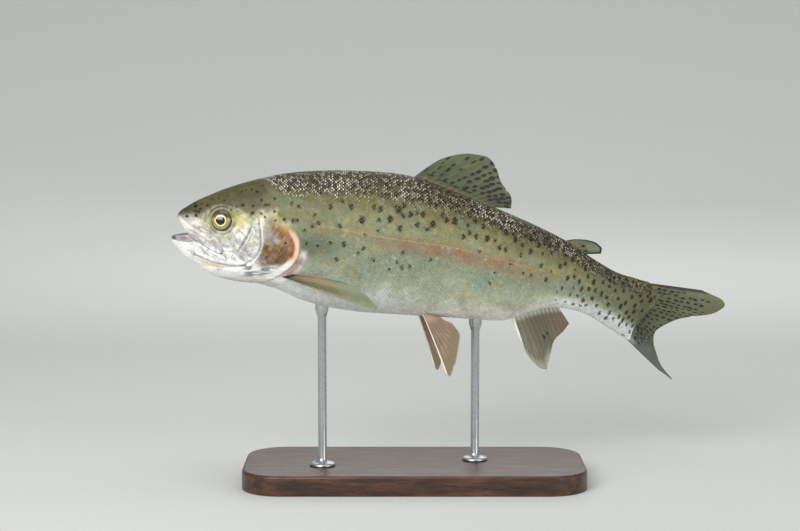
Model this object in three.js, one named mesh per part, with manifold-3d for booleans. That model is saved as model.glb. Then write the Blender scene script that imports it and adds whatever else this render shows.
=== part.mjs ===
// A rainbow trout, life size, swimming with its mouth open and its tail swung away, on a plain display stand.
// Millimetres, +Z up. The fish swims towards -X and its left side faces -Y.
// The origin is on the floor, at the middle of the whole length and width.
//
// Every piece of the fish is first made along a straight axis: x runs from the snout to the tail, y across
// (negative on the fish's left) and z up. place() then bends that straight fish along its swimming line.
import * as THREE from "three";
import { mergeVertices } from "three/addons/utils/BufferGeometryUtils.js";
import Module from "manifold-3d";

const wasm = await Module();
wasm.setup();

// ---------------------------------------------------------------- driving dimensions

const FLESH_END = 340; // the standard length, from the snout to the end of the flesh
const SNOUT_PLACE = new THREE.Vector3(-193.48, -33.82, 185); // where the straight axis starts
const JOINT_GAP = 0.3; // left between neighbouring pieces
const AROUND = 28; // facets round a section of the body

const HEADING_FRONT = 4; // degrees that the head's axis leads away from the X axis
const HEADING_TURN = 15; // further degrees that the rear of the body is swung away
const PITCH_HEAD = 5; // degrees that the tail side hangs below the head
const PITCH_TURN = 21; // further degrees at the end of the flesh
const TURN_FROM = 72; // the station where the body starts to bend, behind the rigid head

const EYE = { x: 30.6, z: 4.2, out: 17.2, radius: 7.8, depth: 4.8, turn: 12, tilt: 6 };
const GILL_COVER_PROUD = 1; // how far the gill covers stand out of the head
const GILL_COVER_DEPTH = 3;
const MAXILLA_PROUD = 0.8;
const MAXILLA_DEPTH = 1.6;
const STALK_START = 286; // the section where the trunk ends, just behind the anal fin
const FIN_SINK = 3; // how far the fins reach into the flesh before they are trimmed to it
const FIN_EDGE = 0.6; // their thickness at the edge

const BASE = { length: 240, width: 104, height: 14, corner: 26, bevel: 2, x: -31, y: -11.8 };
const ROD = { radius: 3, foot: 9, footHeight: 2.6, collar: 4.6, collarHeight: 7 };
const ROD_STATIONS = { front: 104, rear: 220 }; // along the fish's own axis

// ---------------------------------------------------------------- small helpers

const radians = (degrees) => (degrees * Math.PI) / 180;
const clamp01 = (t) => Math.min(1, Math.max(0, t));
const mix = (a, b, t) => a + (b - a) * t;
const smoothstep = (t) => t * t * (3 - 2 * t);
const signedPower = (v, power) => Math.sign(v) * Math.abs(v) ** power;
const vector = (x, y, z) => new THREE.Vector3(x, y, z);

// A smooth line through stations [position, value], which doesn't overshoot them.
function through(stations) {
  const xs = stations.map((s) => s[0]);
  const vs = stations.map((s) => s[1]);
  const slopes = xs.slice(1).map((x, i) => (vs[i + 1] - vs[i]) / (x - xs[i]));
  const tangents = vs.map((_, i) => {
    if (i === 0 || i === vs.length - 1) return slopes[i === 0 ? 0 : i - 1];
    const [before, after] = [slopes[i - 1], slopes[i]];
    return before * after <= 0 ? 0 : (2 * before * after) / (before + after);
  });
  return (x) => {
    if (x <= xs[0]) return vs[0];
    if (x >= xs[xs.length - 1]) return vs[vs.length - 1];
    const i = xs.findIndex((v) => v > x) - 1;
    const h = xs[i + 1] - xs[i];
    const t = (x - xs[i]) / h;
    return (
      (1 + 2 * t) * (1 - t) ** 2 * vs[i] +
      t * (1 - t) ** 2 * h * tangents[i] +
      t * t * (3 - 2 * t) * vs[i + 1] +
      t * t * (t - 1) * h * tangents[i + 1]
    );
  };
}

// ---------------------------------------------------------------- the swimming line

const LINE_STEP = 0.5;
const LINE_LENGTH = 430;

function directionAt(s) {
  const heading = radians(HEADING_FRONT + HEADING_TURN * smoothstep(clamp01((s - TURN_FROM) / 190)));
  const pitch = radians(PITCH_HEAD + PITCH_TURN * clamp01((s - TURN_FROM) / 266) ** 1.5);
  return vector(
    Math.cos(pitch) * Math.cos(heading),
    Math.cos(pitch) * Math.sin(heading),
    -Math.sin(pitch),
  );
}

const swimmingLine = [SNOUT_PLACE.clone()];
for (let s = 0; s < LINE_LENGTH; s += LINE_STEP) {
  const last = swimmingLine[swimmingLine.length - 1];
  swimmingLine.push(last.clone().addScaledVector(directionAt(s + LINE_STEP / 2), LINE_STEP));
}

// Carries a point of the straight fish to its place in the bent one.
function place(p) {
  const s = Math.min(Math.max(p.x, 0), LINE_LENGTH - LINE_STEP);
  const i = Math.floor(s / LINE_STEP);
  const along = directionAt(s);
  const across = vector(-along.y, along.x, 0).normalize();
  const up = new THREE.Vector3().crossVectors(along, across);
  return swimmingLine[i]
    .clone()
    .lerp(swimmingLine[i + 1], s / LINE_STEP - i)
    .addScaledVector(along, p.x - s)
    .addScaledVector(across, p.y)
    .addScaledVector(up, p.z);
}

// ---------------------------------------------------------------- the body's form

// Behind the jaws every section is upright, and these give its form.
const backLine = through([
  [14, 17.6], [30, 25.8], [50, 33.8], [70, 39.9], [90, 43.5], [120, 46.6], [145, 47.8], [160, 46.9],
  [180, 42.6], [210, 37.2], [240, 32.4], [270, 27.6], [300, 21], [316, 19.2], [340, 23],
]);
const bellyLine = through([
  [14, -28], [26, -34], [42, -36.6], [58, -37.6], [72, -41], [90, -47], [110, -50.4], [130, -51.2],
  [160, -49.8], [200, -46.2], [230, -42.6], [243, -39.6], [258, -31], [272, -24], [288, -19.2],
  [304, -17.8], [320, -19.6], [340, -22.6],
]);
const halfWidth = through([
  [14, 11.8], [30, 15.6], [50, 19.6], [70, 22.6], [86, 23.6], [110, 25.6], [140, 26.4], [170, 25.4],
  [200, 22.8], [230, 19], [260, 14], [285, 10], [310, 6.6], [340, 3.2],
]);
// The level of the greatest width: at the cheeks in the head, at the axis behind it.
const widestLevel = through([[14, -8.2], [30, -9], [55, -6], [85, -2], [130, 0], [340, 0]]);
// How square the section is above and below that level. 2 is an ellipse.
const roofSquareness = through([[14, 2.3], [40, 2.35], [90, 2.2], [200, 2.1], [300, 1.9], [340, 1.8]]);
const floorSquareness = through([[14, 1.9], [60, 1.95], [110, 2.2], [210, 2.2], [300, 1.9], [340, 1.8]]);

// The sections round the mouth lean forward over the jaws. Each has a side point, a point on the roof and one
// on the floor, all as [x, z], and a half width. They run out of the throat, round the lips, and back over the
// snout and chin.
const MOUTH_SECTIONS = [
  { side: [31, -9.5], roof: [32, -7], floor: [31, -13], width: 5 },
  { side: [22, -9], roof: [22, -3], floor: [22, -17], width: 9 },
  { side: [13, -8], roof: [11, 0.6], floor: [11, -15.6], width: 8.8 },
  { side: [9.8, -7.1], roof: [3.4, 2.4], floor: [0.6, -12], width: 8.4 },
  { side: [8.6, -6.8], roof: [0.9, 1.8], floor: [-2, -9], width: 9.1 },
  { side: [8.5, -6.8], roof: [-0.4, 2.2], floor: [-3.2, -8.8], width: 9.8 },
  { side: [9.2, -7], roof: [-1.1, 4.8], floor: [-3.9, -11.4], width: 10.3 },
  { side: [10.2, -7.3], roof: [0.8, 8.2], floor: [-2.4, -14.9], width: 10.7 },
  { side: [11.4, -7.6], roof: [4.6, 11.2], floor: [2.2, -18.9], width: 11.1 },
  { side: [12.7, -7.9], roof: [9.2, 14.6], floor: [7.4, -23.8], width: 11.5 },
];
const LIP_SECTION = 5; // the first of them outside the mouth
const FIRST_UPRIGHT = 14; // the station where the upright sections start

// The sections lie close together where the form changes fast: over the head, and round the anal fin.
const BODY_STATIONS = [
  ...[14, 19, 24, 30, 37, 45, 53, 61, 69, 77, 85, 94, 104, 115, 127, 139, 151, 162, 173, 185, 198],
  ...[211, 224, 236, 245, 253, 261, 270, 279, 288, 298, 308, 319, 330, FLESH_END],
];

function uprightSection(x) {
  return { side: [x, widestLevel(x)], roof: [x, backLine(x)], floor: [x, bellyLine(x)], width: halfWidth(x) };
}

// One closed ring of points round a section, moved outwards by grow.
function ring(section, roofPower, floorPower, grow) {
  const { side, roof, floor, width } = section;
  return Array.from({ length: AROUND }, (_, j) => {
    const a = (j / AROUND) * 2 * Math.PI;
    const [end, power] = Math.sin(a) >= 0 ? [roof, roofPower] : [floor, floorPower];
    const reach = Math.hypot(end[0] - side[0], end[1] - side[1]);
    const share = Math.abs(Math.sin(a)) ** power * (1 + grow / reach);
    return vector(
      side[0] + (end[0] - side[0]) * share,
      -(width + grow) * signedPower(Math.cos(a), power),
      side[1] + (end[1] - side[1]) * share,
    );
  });
}

// Joins rings of corners into one closed solid, with a flat fan at each end.
function loft(rings) {
  const around = rings[0].length;
  const corners = rings.flat();
  const faces = [];
  for (let i = 0; i + 1 < rings.length; i++)
    for (let j = 0; j < around; j++) {
      const [a, b] = [i * around + j, i * around + ((j + 1) % around)];
      faces.push([a, a + around, b + around], [a, b + around, b]);
    }
  for (const [first, flip] of [[0, true], [(rings.length - 1) * around, false]]) {
    const middle = vector(0, 0, 0);
    for (let j = 0; j < around; j++) middle.addScaledVector(corners[first + j], 1 / around);
    for (let j = 0; j < around; j++) {
      const [a, b] = [first + j, first + ((j + 1) % around)];
      faces.push(flip ? [corners.length, a, b] : [corners.length, b, a]);
    }
    corners.push(middle);
  }
  return solidFrom(corners, faces);
}

// The whole body, grown outwards. With its mouth it opens between the jaws; without, it is closed at the lips.
function bodySolid(grow, withMouth = false) {
  const jaws = withMouth ? MOUTH_SECTIONS : MOUTH_SECTIONS.slice(LIP_SECTION);
  const powersAt = (x) => [2 / roofSquareness(x), 2 / floorSquareness(x)];
  return loft([
    ...jaws.map((section) => ring(section, ...powersAt(FIRST_UPRIGHT), grow)),
    ...BODY_STATIONS.map((x) => ring(uprightSection(x), ...powersAt(x), grow)),
  ]);
}

// ---------------------------------------------------------------- solids and cutters

// A solid from corners and triangles. It is turned inside out if its faces point in.
function solidFrom(corners, faces) {
  const made = new wasm.Manifold(
    new wasm.Mesh({
      numProp: 3,
      vertProperties: new Float32Array(corners.flatMap((p) => [p.x, p.y, p.z])),
      triVerts: new Uint32Array(faces.flat()),
    }),
  );
  return made.volume() > 0 ? made : solidFrom(corners, faces.map(([a, b, c]) => [a, c, b]));
}

function solidOf(geometry) {
  const bare = new THREE.BufferGeometry().setAttribute("position", geometry.getAttribute("position"));
  bare.setIndex(geometry.index);
  const { attributes, index } = mergeVertices(bare, 1e-4);
  return new wasm.Manifold(
    new wasm.Mesh({
      numProp: 3,
      vertProperties: new Float32Array(attributes.position.array),
      triVerts: new Uint32Array(index.array),
    }),
  );
}

// A closed outline in side view, [x, z], with room round it, pushed through the fish from y0 to y1.
function sideCutter(outline, room = 0, y0 = -80, y1 = 80) {
  const shape = new THREE.Shape(outline.map(([x, z]) => new THREE.Vector2(x, z)));
  const g = new THREE.ExtrudeGeometry(shape, {
    depth: y1 - y0, bevelThickness: 0, bevelSize: 0, bevelOffset: room, bevelSegments: 0,
  });
  return solidOf(g.rotateX(Math.PI / 2).translate(0, y1, 0));
}

const box = (x0, x1, y0, y1) => sideCutter([[x0, -90], [x1, -90], [x1, 90], [x0, 90]], 0, y0, y1);

function geometryOf(solid) {
  const { vertProperties, triVerts } = solid.getMesh();
  const g = new THREE.BufferGeometry();
  g.setAttribute("position", new THREE.BufferAttribute(vertProperties, 3));
  return g.setIndex(new THREE.BufferAttribute(triVerts, 1));
}

// Bends a straight geometry along the swimming line.
function bent(geometry) {
  const places = geometry.getAttribute("position");
  const p = vector(0, 0, 0);
  for (let i = 0; i < places.count; i++) {
    p.fromBufferAttribute(places, i);
    places.setXYZ(i, ...place(p).toArray());
  }
  geometry.computeVertexNormals();
  return geometry;
}

// ---------------------------------------------------------------- outlines in side view

// The gill cover: down the back of the preopercle, along the gill membrane, and up round the free rear edge.
const GILL_COVER_OUTLINE = [
  [56, 14], [55.4, 7], [57.4, -7], [57, -12.5], [54.3, -18], [49.5, -23], [41.8, -26.4], [34, -28],
  [38, -32], [48, -34.2], [60, -33.6], [70, -29.6], [78.6, -22.6], [82.8, -15.8], [83.8, -8.6],
  [82, -2], [76.8, 4.6], [69.4, 10.8], [62.6, 15],
];
// The maxilla, the plate along the edge of the upper jaw.
const MAXILLA_OUTLINE = [
  [5.4, -1.6], [10, -1.4], [17, -4], [24, -8.4], [30, -12.8], [32.2, -15.8], [31, -17.6], [27, -17],
  [20, -13.6], [12, -9.6], [8.2, -7.2],
];
// The lower jaw lies below and in front of this.
const LOWER_JAW_OUTLINE = [
  [-30, -3], [-3, -3], [8.4, -6.8], [22, -14.4], [31, -19], [33.6, -27], [38, -60], [-30, -60],
];
// The trunk lies behind this: from the nape, down behind the gill cover, to the throat.
const TRUNK_OUTLINE = [
  [56, 70], [57, 36], [61, 27], [67, 19], [74, 13.2], [80, 6], [85, -1], [86.6, -8.6], [85.6, -16.4],
  [81, -24], [72, -31.6], [61, -36.6], [58, -70], [500, -70], [500, 70],
];

// ---------------------------------------------------------------- fins

// A fin as a thin closed plate of straight rays, from foot(u) to tip(u) for u from 0 to 1 along its base.
function finSolid({ foot, tip, thick, rays, steps }) {
  const middle = (u) => foot(u).add(tip(u)).multiplyScalar(0.5);
  const rows = steps + 1;
  const corners = [];
  for (const sign of [1, -1])
    for (let i = 0; i <= rays; i++) {
      const u = i / rays;
      const along = tip(u).sub(foot(u)).normalize();
      const spread = middle(Math.min(1, u + 0.02)).sub(middle(Math.max(0, u - 0.02)));
      const normal = vector(0, 0, 0).crossVectors(along, spread).normalize();
      const start = foot(u).addScaledVector(along, -FIN_SINK);
      for (let k = 0; k < rows; k++) {
        const half = mix(thick, FIN_EDGE, (k / steps) ** 0.6) / 2;
        corners.push(start.clone().lerp(tip(u), k / steps).addScaledVector(normal, sign * half));
      }
    }
  const at = (sheet, i, k) => (sheet * (rays + 1) + i) * rows + k;
  const faces = [];
  const quad = (a, b, c, d) => faces.push([a, b, c], [a, c, d]);
  for (let i = 0; i < rays; i++) {
    for (let k = 0; k < steps; k++) {
      quad(at(0, i, k), at(0, i + 1, k), at(0, i + 1, k + 1), at(0, i, k + 1));
      quad(at(1, i, k), at(1, i, k + 1), at(1, i + 1, k + 1), at(1, i + 1, k));
    }
    quad(at(0, i, 0), at(1, i, 0), at(1, i + 1, 0), at(0, i + 1, 0));
    quad(at(0, i, steps), at(0, i + 1, steps), at(1, i + 1, steps), at(1, i, steps));
  }
  for (let k = 0; k < steps; k++) {
    quad(at(0, 0, k), at(0, 0, k + 1), at(1, 0, k + 1), at(1, 0, k));
    quad(at(0, rays, k), at(1, rays, k), at(1, rays, k + 1), at(0, rays, k + 1));
  }
  return solidFrom(corners, faces);
}

// A smooth row of points through [share of the base, x, y, z].
function rowThrough(stations) {
  const [x, y, z] = [1, 2, 3].map((k) => through(stations.map((s) => [s[0], s[k]])));
  return (u) => vector(x(u), y(u), z(u));
}

// A fin on the fish's middle line. Its feet stand on the back or belly from x0 to x1.
const middleFin = ({ x0, x1, line, tips, ...rest }) =>
  finSolid({ foot: (u) => vector(mix(x0, x1, u), 0, line(mix(x0, x1, u))), tip: rowThrough(tips), ...rest });

// A fin of a pair, given for the left side and mirrored for the right.
function pairedFin(right, { feet, tips, ...rest }) {
  const sided = (row) => (u) => row(u).multiply(vector(1, right ? -1 : 1, 1));
  return finSolid({ foot: sided(rowThrough(feet)), tip: sided(rowThrough(tips)), ...rest });
}

const DORSAL_FIN = {
  x0: 157, x1: 216, line: backLine, thick: 2.6, rays: 12, steps: 3,
  tips: [
    [0, 164, 0.5, 54.5], [0.08, 175, 1, 63.4], [0.18, 192, 2, 69.4], [0.26, 202, 2.5, 69.8],
    [0.36, 210, 2.5, 65.2], [0.55, 215.5, 2, 55.4], [0.8, 225.4, 1, 45.8], [1, 227, 0.5, 38],
  ],
};
const ADIPOSE_FIN = {
  x0: 272, x1: 290, line: backLine, thick: 2.8, rays: 7, steps: 2,
  tips: [
    [0, 277, 0, 29.8], [0.3, 286, 0, 32.4], [0.55, 292, 0, 33], [0.8, 299, 0, 30.6], [1, 299.6, 0, 26.8],
  ],
};
const ANAL_FIN = {
  x0: 248, x1: 283, line: bellyLine, thick: 2.4, rays: 10, steps: 3,
  tips: [
    [0, 256, -1, -46.6], [0.1, 271, -1, -59.8], [0.2, 284, -2, -65], [0.28, 289, -2, -64],
    [0.42, 287.4, -2, -53.5], [0.65, 287.6, -1, -43], [0.85, 292.4, -1, -34], [1, 294.7, -1, -28.2],
  ],
};
const PECTORAL_FIN = {
  thick: 2.6, rays: 10, steps: 4,
  feet: [[0, 76, -21, -30.2], [1, 83.4, -22.4, -27]],
  tips: [
    [0, 133, -39, -44], [0.15, 138, -38.6, -42.4], [0.4, 131, -36, -35.4], [0.7, 116.6, -31.5, -28.4],
    [1, 104, -28.4, -27],
  ],
};
const PELVIC_FIN = {
  thick: 2.4, rays: 9, steps: 3,
  feet: [[0, 176.6, -8.6, -46.6], [1, 182.6, -9.8, -45.4]],
  tips: [
    [0, 200, -15, -83.4], [0.15, 204.2, -15, -85.4], [0.4, 206.6, -14.6, -72.4], [0.7, 206.4, -13.6, -57.6],
    [1, 198.6, -12, -48.4],
  ],
};
// The tail fin's two lobes meet behind the middle of the flesh. The lower one is swung away.
const TAIL_LOBE = { thick: 3.6, rays: 10, steps: 4 };
const UPPER_LOBE = {
  feet: [[0, 341.5, 0, 21.6], [1, 341.5, 0, -2.6]],
  tips: [
    [0, 384, 0, 34.6], [0.1, 400, 0, 35.2], [0.22, 406.4, 0, 31.4], [0.35, 401.6, 1, 23.2],
    [0.6, 386, 2.4, 14], [0.8, 375, 4, 4.8], [1, 366, 6, -7],
  ],
};
const LOWER_LOBE = {
  feet: [[0, 341.5, 0, -3.4], [1, 341.5, 0, -21.2]],
  tips: [
    [0, 367, 6.4, -9.8], [0.2, 370.6, 9, -15], [0.45, 380.5, 14, -22.8], [0.7, 396, 18.6, -30.6],
    [0.85, 402.6, 20, -33.2], [1, 388, 17, -31.6],
  ],
};

// ---------------------------------------------------------------- the pieces of the fish

function eyeball(side, gap) {
  const g = new THREE.SphereGeometry(1, 18, 10);
  g.scale(EYE.radius + gap, EYE.depth + gap, EYE.radius + gap);
  g.rotateX(side * radians(EYE.tilt)).rotateZ(side * radians(EYE.turn));
  return solidOf(g.translate(EYE.x, side * (EYE.out - EYE.depth), EYE.z));
}

const LEFT = -1;
const RIGHT = 1;
const sideOf = (side) => (side === LEFT ? box(-50, 500, -90, 0) : box(-50, 500, 0, 90));

// A plate let into the head: the part of a proud body inside an outline, and the pocket that it lies in.
function plateAndPocket(outline, proud, depth) {
  return {
    plate: bodySolid(proud).intersect(sideCutter(outline)).subtract(bodySolid(-depth)),
    pocket: sideCutter(outline, JOINT_GAP).subtract(bodySolid(-depth - JOINT_GAP)),
  };
}

const body = bodySolid(0, true);
const clearOfBody = bodySolid(JOINT_GAP);
const gillCover = plateAndPocket(GILL_COVER_OUTLINE, GILL_COVER_PROUD, GILL_COVER_DEPTH);
const maxilla = plateAndPocket(MAXILLA_OUTLINE, MAXILLA_PROUD, MAXILLA_DEPTH);
const trunkAndStalk = body.intersect(sideCutter(TRUNK_OUTLINE));
const wholeHead = body
  .subtract(sideCutter(TRUNK_OUTLINE, JOINT_GAP))
  .subtract(gillCover.pocket)
  .subtract(maxilla.pocket)
  .subtract(eyeball(LEFT, JOINT_GAP))
  .subtract(eyeball(RIGHT, JOINT_GAP));

const straightPieces = {
  head: wholeHead.subtract(sideCutter(LOWER_JAW_OUTLINE, JOINT_GAP)),
  lower_jaw: wholeHead.intersect(sideCutter(LOWER_JAW_OUTLINE)),
  trunk: trunkAndStalk.intersect(box(0, STALK_START - JOINT_GAP)),
  tail_stalk: trunkAndStalk.intersect(box(STALK_START, 500)),
  maxilla_left: maxilla.plate.intersect(sideOf(LEFT)),
  maxilla_right: maxilla.plate.intersect(sideOf(RIGHT)),
  gill_cover_left: gillCover.plate.intersect(sideOf(LEFT)),
  gill_cover_right: gillCover.plate.intersect(sideOf(RIGHT)),
  eye_left: eyeball(LEFT, 0),
  eye_right: eyeball(RIGHT, 0),
  dorsal_fin: middleFin(DORSAL_FIN).subtract(clearOfBody),
  adipose_fin: middleFin(ADIPOSE_FIN).subtract(clearOfBody),
  anal_fin: middleFin(ANAL_FIN).subtract(clearOfBody),
  tail_fin_upper: pairedFin(false, { ...TAIL_LOBE, ...UPPER_LOBE }).subtract(clearOfBody),
  tail_fin_lower: pairedFin(false, { ...TAIL_LOBE, ...LOWER_LOBE }).subtract(clearOfBody),
  pectoral_fin_left: pairedFin(false, PECTORAL_FIN).subtract(clearOfBody),
  pectoral_fin_right: pairedFin(true, PECTORAL_FIN).subtract(clearOfBody),
  pelvic_fin_left: pairedFin(false, PELVIC_FIN).subtract(clearOfBody),
  pelvic_fin_right: pairedFin(true, PELVIC_FIN).subtract(clearOfBody),
};

// ---------------------------------------------------------------- the stand

function roundedRectangle(length, width, corner) {
  const [a, b] = [length / 2, width / 2];
  const shape = new THREE.Shape();
  shape.absarc(a - corner, b - corner, corner, 0, Math.PI / 2);
  shape.absarc(corner - a, b - corner, corner, Math.PI / 2, Math.PI);
  shape.absarc(corner - a, corner - b, corner, Math.PI, 1.5 * Math.PI);
  shape.absarc(a - corner, corner - b, corner, 1.5 * Math.PI, 2 * Math.PI);
  return shape;
}

function standBase() {
  const { length, width, height, corner, bevel, x, y } = BASE;
  const g = new THREE.ExtrudeGeometry(roundedRectangle(length - 2 * bevel, width - 2 * bevel, corner), {
    depth: height - 2 * bevel, bevelThickness: bevel, bevelSize: bevel, bevelSegments: 2, curveSegments: 3,
  });
  return g.translate(x, y, bevel);
}

// A turned rod with a round foot and a collar under the belly, where it ends against the fish.
function standRod(station, fish) {
  const belly = place(vector(station, 0, bellyLine(station)));
  const { radius, foot, footHeight, collar, collarHeight } = ROD;
  const bottom = BASE.height + JOINT_GAP;
  const profile = [
    [0, bottom], [foot, bottom], [foot, bottom + footHeight * 0.6], [foot - 1, bottom + footHeight],
    [radius + 1.2, bottom + footHeight + 0.6], [radius, bottom + 2 * footHeight],
    [radius, belly.z - collarHeight], [collar, belly.z - 1], [collar, belly.z + 6], [0, belly.z + 6],
  ];
  const turned = new THREE.LatheGeometry(profile.map(([r, z]) => new THREE.Vector2(r, z)), 16);
  return geometryOf(solidOf(turned.rotateX(Math.PI / 2).translate(belly.x, belly.y, 0)).subtract(fish));
}

// ---------------------------------------------------------------- materials and the group

const finish = (color, roughness, metalness = 0) =>
  new THREE.MeshStandardMaterial({ color, roughness, metalness });
const silverHead = finish(0xc9c8bd, 0.35, 0.1);
const speckledFlank = finish(0x8f9478, 0.35, 0.1);
const rayFin = finish(0x9c9a86, 0.45);
const pinkFin = finish(0xb98f7c, 0.45);
const iris = finish(0xb8ac5c, 0.15);
const wood = finish(0x4b2e1c, 0.45);
const steel = finish(0xb9bcc0, 0.3, 1);

const FINISH_OF = {
  head: silverHead, lower_jaw: silverHead, maxilla_left: silverHead, maxilla_right: silverHead,
  gill_cover_left: silverHead, gill_cover_right: silverHead, trunk: speckledFlank, tail_stalk: speckledFlank,
  eye_left: iris, eye_right: iris, pelvic_fin_left: pinkFin, pelvic_fin_right: pinkFin,
};

const trout = new THREE.Group();

function addPiece(name, geometry, material) {
  const mesh = new THREE.Mesh(geometry, material);
  mesh.name = name;
  trout.add(mesh);
}

for (const [name, solid] of Object.entries(straightPieces))
  addPiece(name, bent(geometryOf(solid)), FINISH_OF[name] ?? rayFin);

const fishInPlace = solidOf(bent(geometryOf(clearOfBody)));
addPiece("stand_base", standBase(), wood);
addPiece("stand_rod_front", standRod(ROD_STATIONS.front, fishInPlace), steel);
addPiece("stand_rod_rear", standRod(ROD_STATIONS.rear, fishInPlace), steel);

export default trout;
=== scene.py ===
import functools
import math

import bpy
import numpy as np
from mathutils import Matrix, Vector


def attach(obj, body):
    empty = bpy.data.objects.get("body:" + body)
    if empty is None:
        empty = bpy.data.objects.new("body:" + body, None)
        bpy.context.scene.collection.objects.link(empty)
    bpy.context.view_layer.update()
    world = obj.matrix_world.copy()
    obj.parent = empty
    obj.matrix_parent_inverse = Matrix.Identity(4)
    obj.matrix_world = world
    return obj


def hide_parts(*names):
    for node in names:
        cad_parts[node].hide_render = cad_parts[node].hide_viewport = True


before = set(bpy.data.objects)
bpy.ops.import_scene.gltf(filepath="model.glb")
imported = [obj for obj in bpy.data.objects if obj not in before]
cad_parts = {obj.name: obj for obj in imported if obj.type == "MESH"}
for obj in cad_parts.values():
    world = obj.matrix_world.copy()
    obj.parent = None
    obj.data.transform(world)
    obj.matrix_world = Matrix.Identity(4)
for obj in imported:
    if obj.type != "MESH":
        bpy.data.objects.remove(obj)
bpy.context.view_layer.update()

MM = 0.001
LEFT, RIGHT = -1, 1

# The camera, in metres, and the size of its picture in pixels.
CAMERA_TARGET = np.array([-0.04108, -0.01182, 0.153])
CAMERA_DISTANCE = 1.3222
CAMERA_ELEVATION = math.radians(6)
LENS, SENSOR = 85, 36
PICTURE = (800, 531)
look = np.array([0, math.cos(CAMERA_ELEVATION), -math.sin(CAMERA_ELEVATION)])
camera_place = CAMERA_TARGET - CAMERA_DISTANCE * look

# ---------------------------------------------------------------- small helpers


def clamp01(t):
    return np.clip(t, 0.0, 1.0)


def smooth(t):
    t = clamp01(t)
    return t * t * (3 - 2 * t)


def mix(a, b, t):
    return a + (b - a) * t


def hill(distance, width):
    return np.exp(-((distance / width) ** 2))


def signed_power(v, power):
    return np.sign(v) * np.abs(v) ** power


def through(stations):
    """A smooth line through stations [position, value], which doesn't overshoot them."""
    xs, vs = np.array(stations, float).T
    slopes = np.diff(vs) / np.diff(xs)
    before, after = slopes[:-1], slopes[1:]
    turns = before * after <= 0
    inner = np.where(turns, 0, 2 * before * after / np.where(turns, 1, before + after))
    tangents = np.concatenate([slopes[:1], inner, slopes[-1:]])

    def line(x):
        x = np.clip(np.asarray(x, float), xs[0], xs[-1])
        i = np.clip(np.searchsorted(xs, x, side="right") - 1, 0, len(xs) - 2)
        h = xs[i + 1] - xs[i]
        t = (x - xs[i]) / h
        return (
            (1 + 2 * t) * (1 - t) ** 2 * vs[i]
            + t * (1 - t) ** 2 * h * tangents[i]
            + t * t * (3 - 2 * t) * vs[i + 1]
            + t * t * (t - 1) * h * tangents[i + 1]
        )

    return line


def rounded(points, closed=False, parts=4):
    """More points between those given, so that the line turns softly."""
    p = np.array(points, float)
    ends = (p[-1:], p[:1], p[1:2]) if closed else (2 * p[:1] - p[1:2], 2 * p[-1:] - p[-2:-1])
    q = np.concatenate([ends[0], p, *ends[1:]])
    out = []
    for i in range(1, len(q) - 2):
        for t in np.arange(parts) / parts:
            a, b, c, d = q[i - 1 : i + 3]
            out.append(0.5 * (2 * b + (c - a) * t + (2 * a - 5 * b + 4 * c - d) * t**2
                              + (3 * b - a - 3 * c + d) * t**3))
    return np.array(out if closed else out + [p[-1]])


def off_line(x, z, points, closed=False):
    """The distance of each place from a line: positive on the left of its run, or inside it if it is closed."""
    p = rounded(points, closed)
    if closed:
        p = np.concatenate([p, p[:1]])
    nearest = np.full(np.shape(x), 1e9)
    side = np.ones(np.shape(x))
    for (ax, az), (bx, bz) in zip(p, p[1:]):
        dx, dz = bx - ax, bz - az
        if dx * dx + dz * dz < 1e-12:
            continue
        t = clamp01(((x - ax) * dx + (z - az) * dz) / (dx * dx + dz * dz))
        d = np.hypot(x - ax - t * dx, z - az - t * dz)
        nearer = d < nearest
        nearest = np.where(nearer, d, nearest)
        side = np.where(nearer, np.where(dx * (z - az) - dz * (x - ax) >= 0, 1.0, -1.0), side)
    return nearest * side


def cloud(x, z, size, seed):
    """Soft random hills and hollows of about that size, from -1 to 1."""
    lattice = np.random.default_rng(seed).uniform(-1, 1, (64, 64))
    u, w = x / size, z / size
    i, k = np.floor(u).astype(int), np.floor(w).astype(int)
    fu, fw = smooth(u - i), smooth(w - k)
    at = lambda a, b: lattice[(i + a) % 64, (k + b) % 64]
    return mix(mix(at(0, 0), at(1, 0), fu), mix(at(0, 1), at(1, 1), fu), fw)


def linear(hex_colour):
    """An sRGB hex colour as linear red, green, blue and alpha."""
    values = [int(hex_colour[i : i + 2], 16) / 255 for i in (1, 3, 5)]
    return (*(v / 12.92 if v <= 0.04045 else ((v + 0.055) / 1.055) ** 2.4 for v in values), 1.0)


def pigments(*hex_colours):
    return [np.array(linear(c)[:3]) for c in hex_colours]


def over(base, colour, share):
    return base + (colour - base) * clamp01(share)[..., None]


def painting(ground, shape):
    """A coat of colour of a shape, and a hand that lays other colours over shares of it."""
    c = np.broadcast_to(ground, (*shape, 3)).copy()

    def lay(colour, share):
        c[...] = over(c, colour, share)

    return c, lay


# ---------------------------------------------------------------- the swimming line

SNOUT_PLACE = (-193.48, -33.82, 185)
HEADING_FRONT, HEADING_TURN = 4, 15  # degrees: of the head, and added by the swing of the tail
PITCH_HEAD, PITCH_TURN = 5, 21
TURN_FROM = 72  # the station behind the rigid head, where the body starts to bend
LINE_STEP, LINE_LENGTH = 0.5, 430


def direction(s):
    heading = np.radians(HEADING_FRONT + HEADING_TURN * smooth((s - TURN_FROM) / 190))
    pitch = np.radians(PITCH_HEAD + PITCH_TURN * clamp01((s - TURN_FROM) / 266) ** 1.5)
    return np.stack([np.cos(pitch) * np.cos(heading), np.cos(pitch) * np.sin(heading), -np.sin(pitch)], -1)


line_steps = np.arange(0, LINE_LENGTH, LINE_STEP)
swimming_line = np.cumsum(
    np.concatenate([[SNOUT_PLACE], direction(line_steps + LINE_STEP / 2) * LINE_STEP]), axis=0
)


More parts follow.
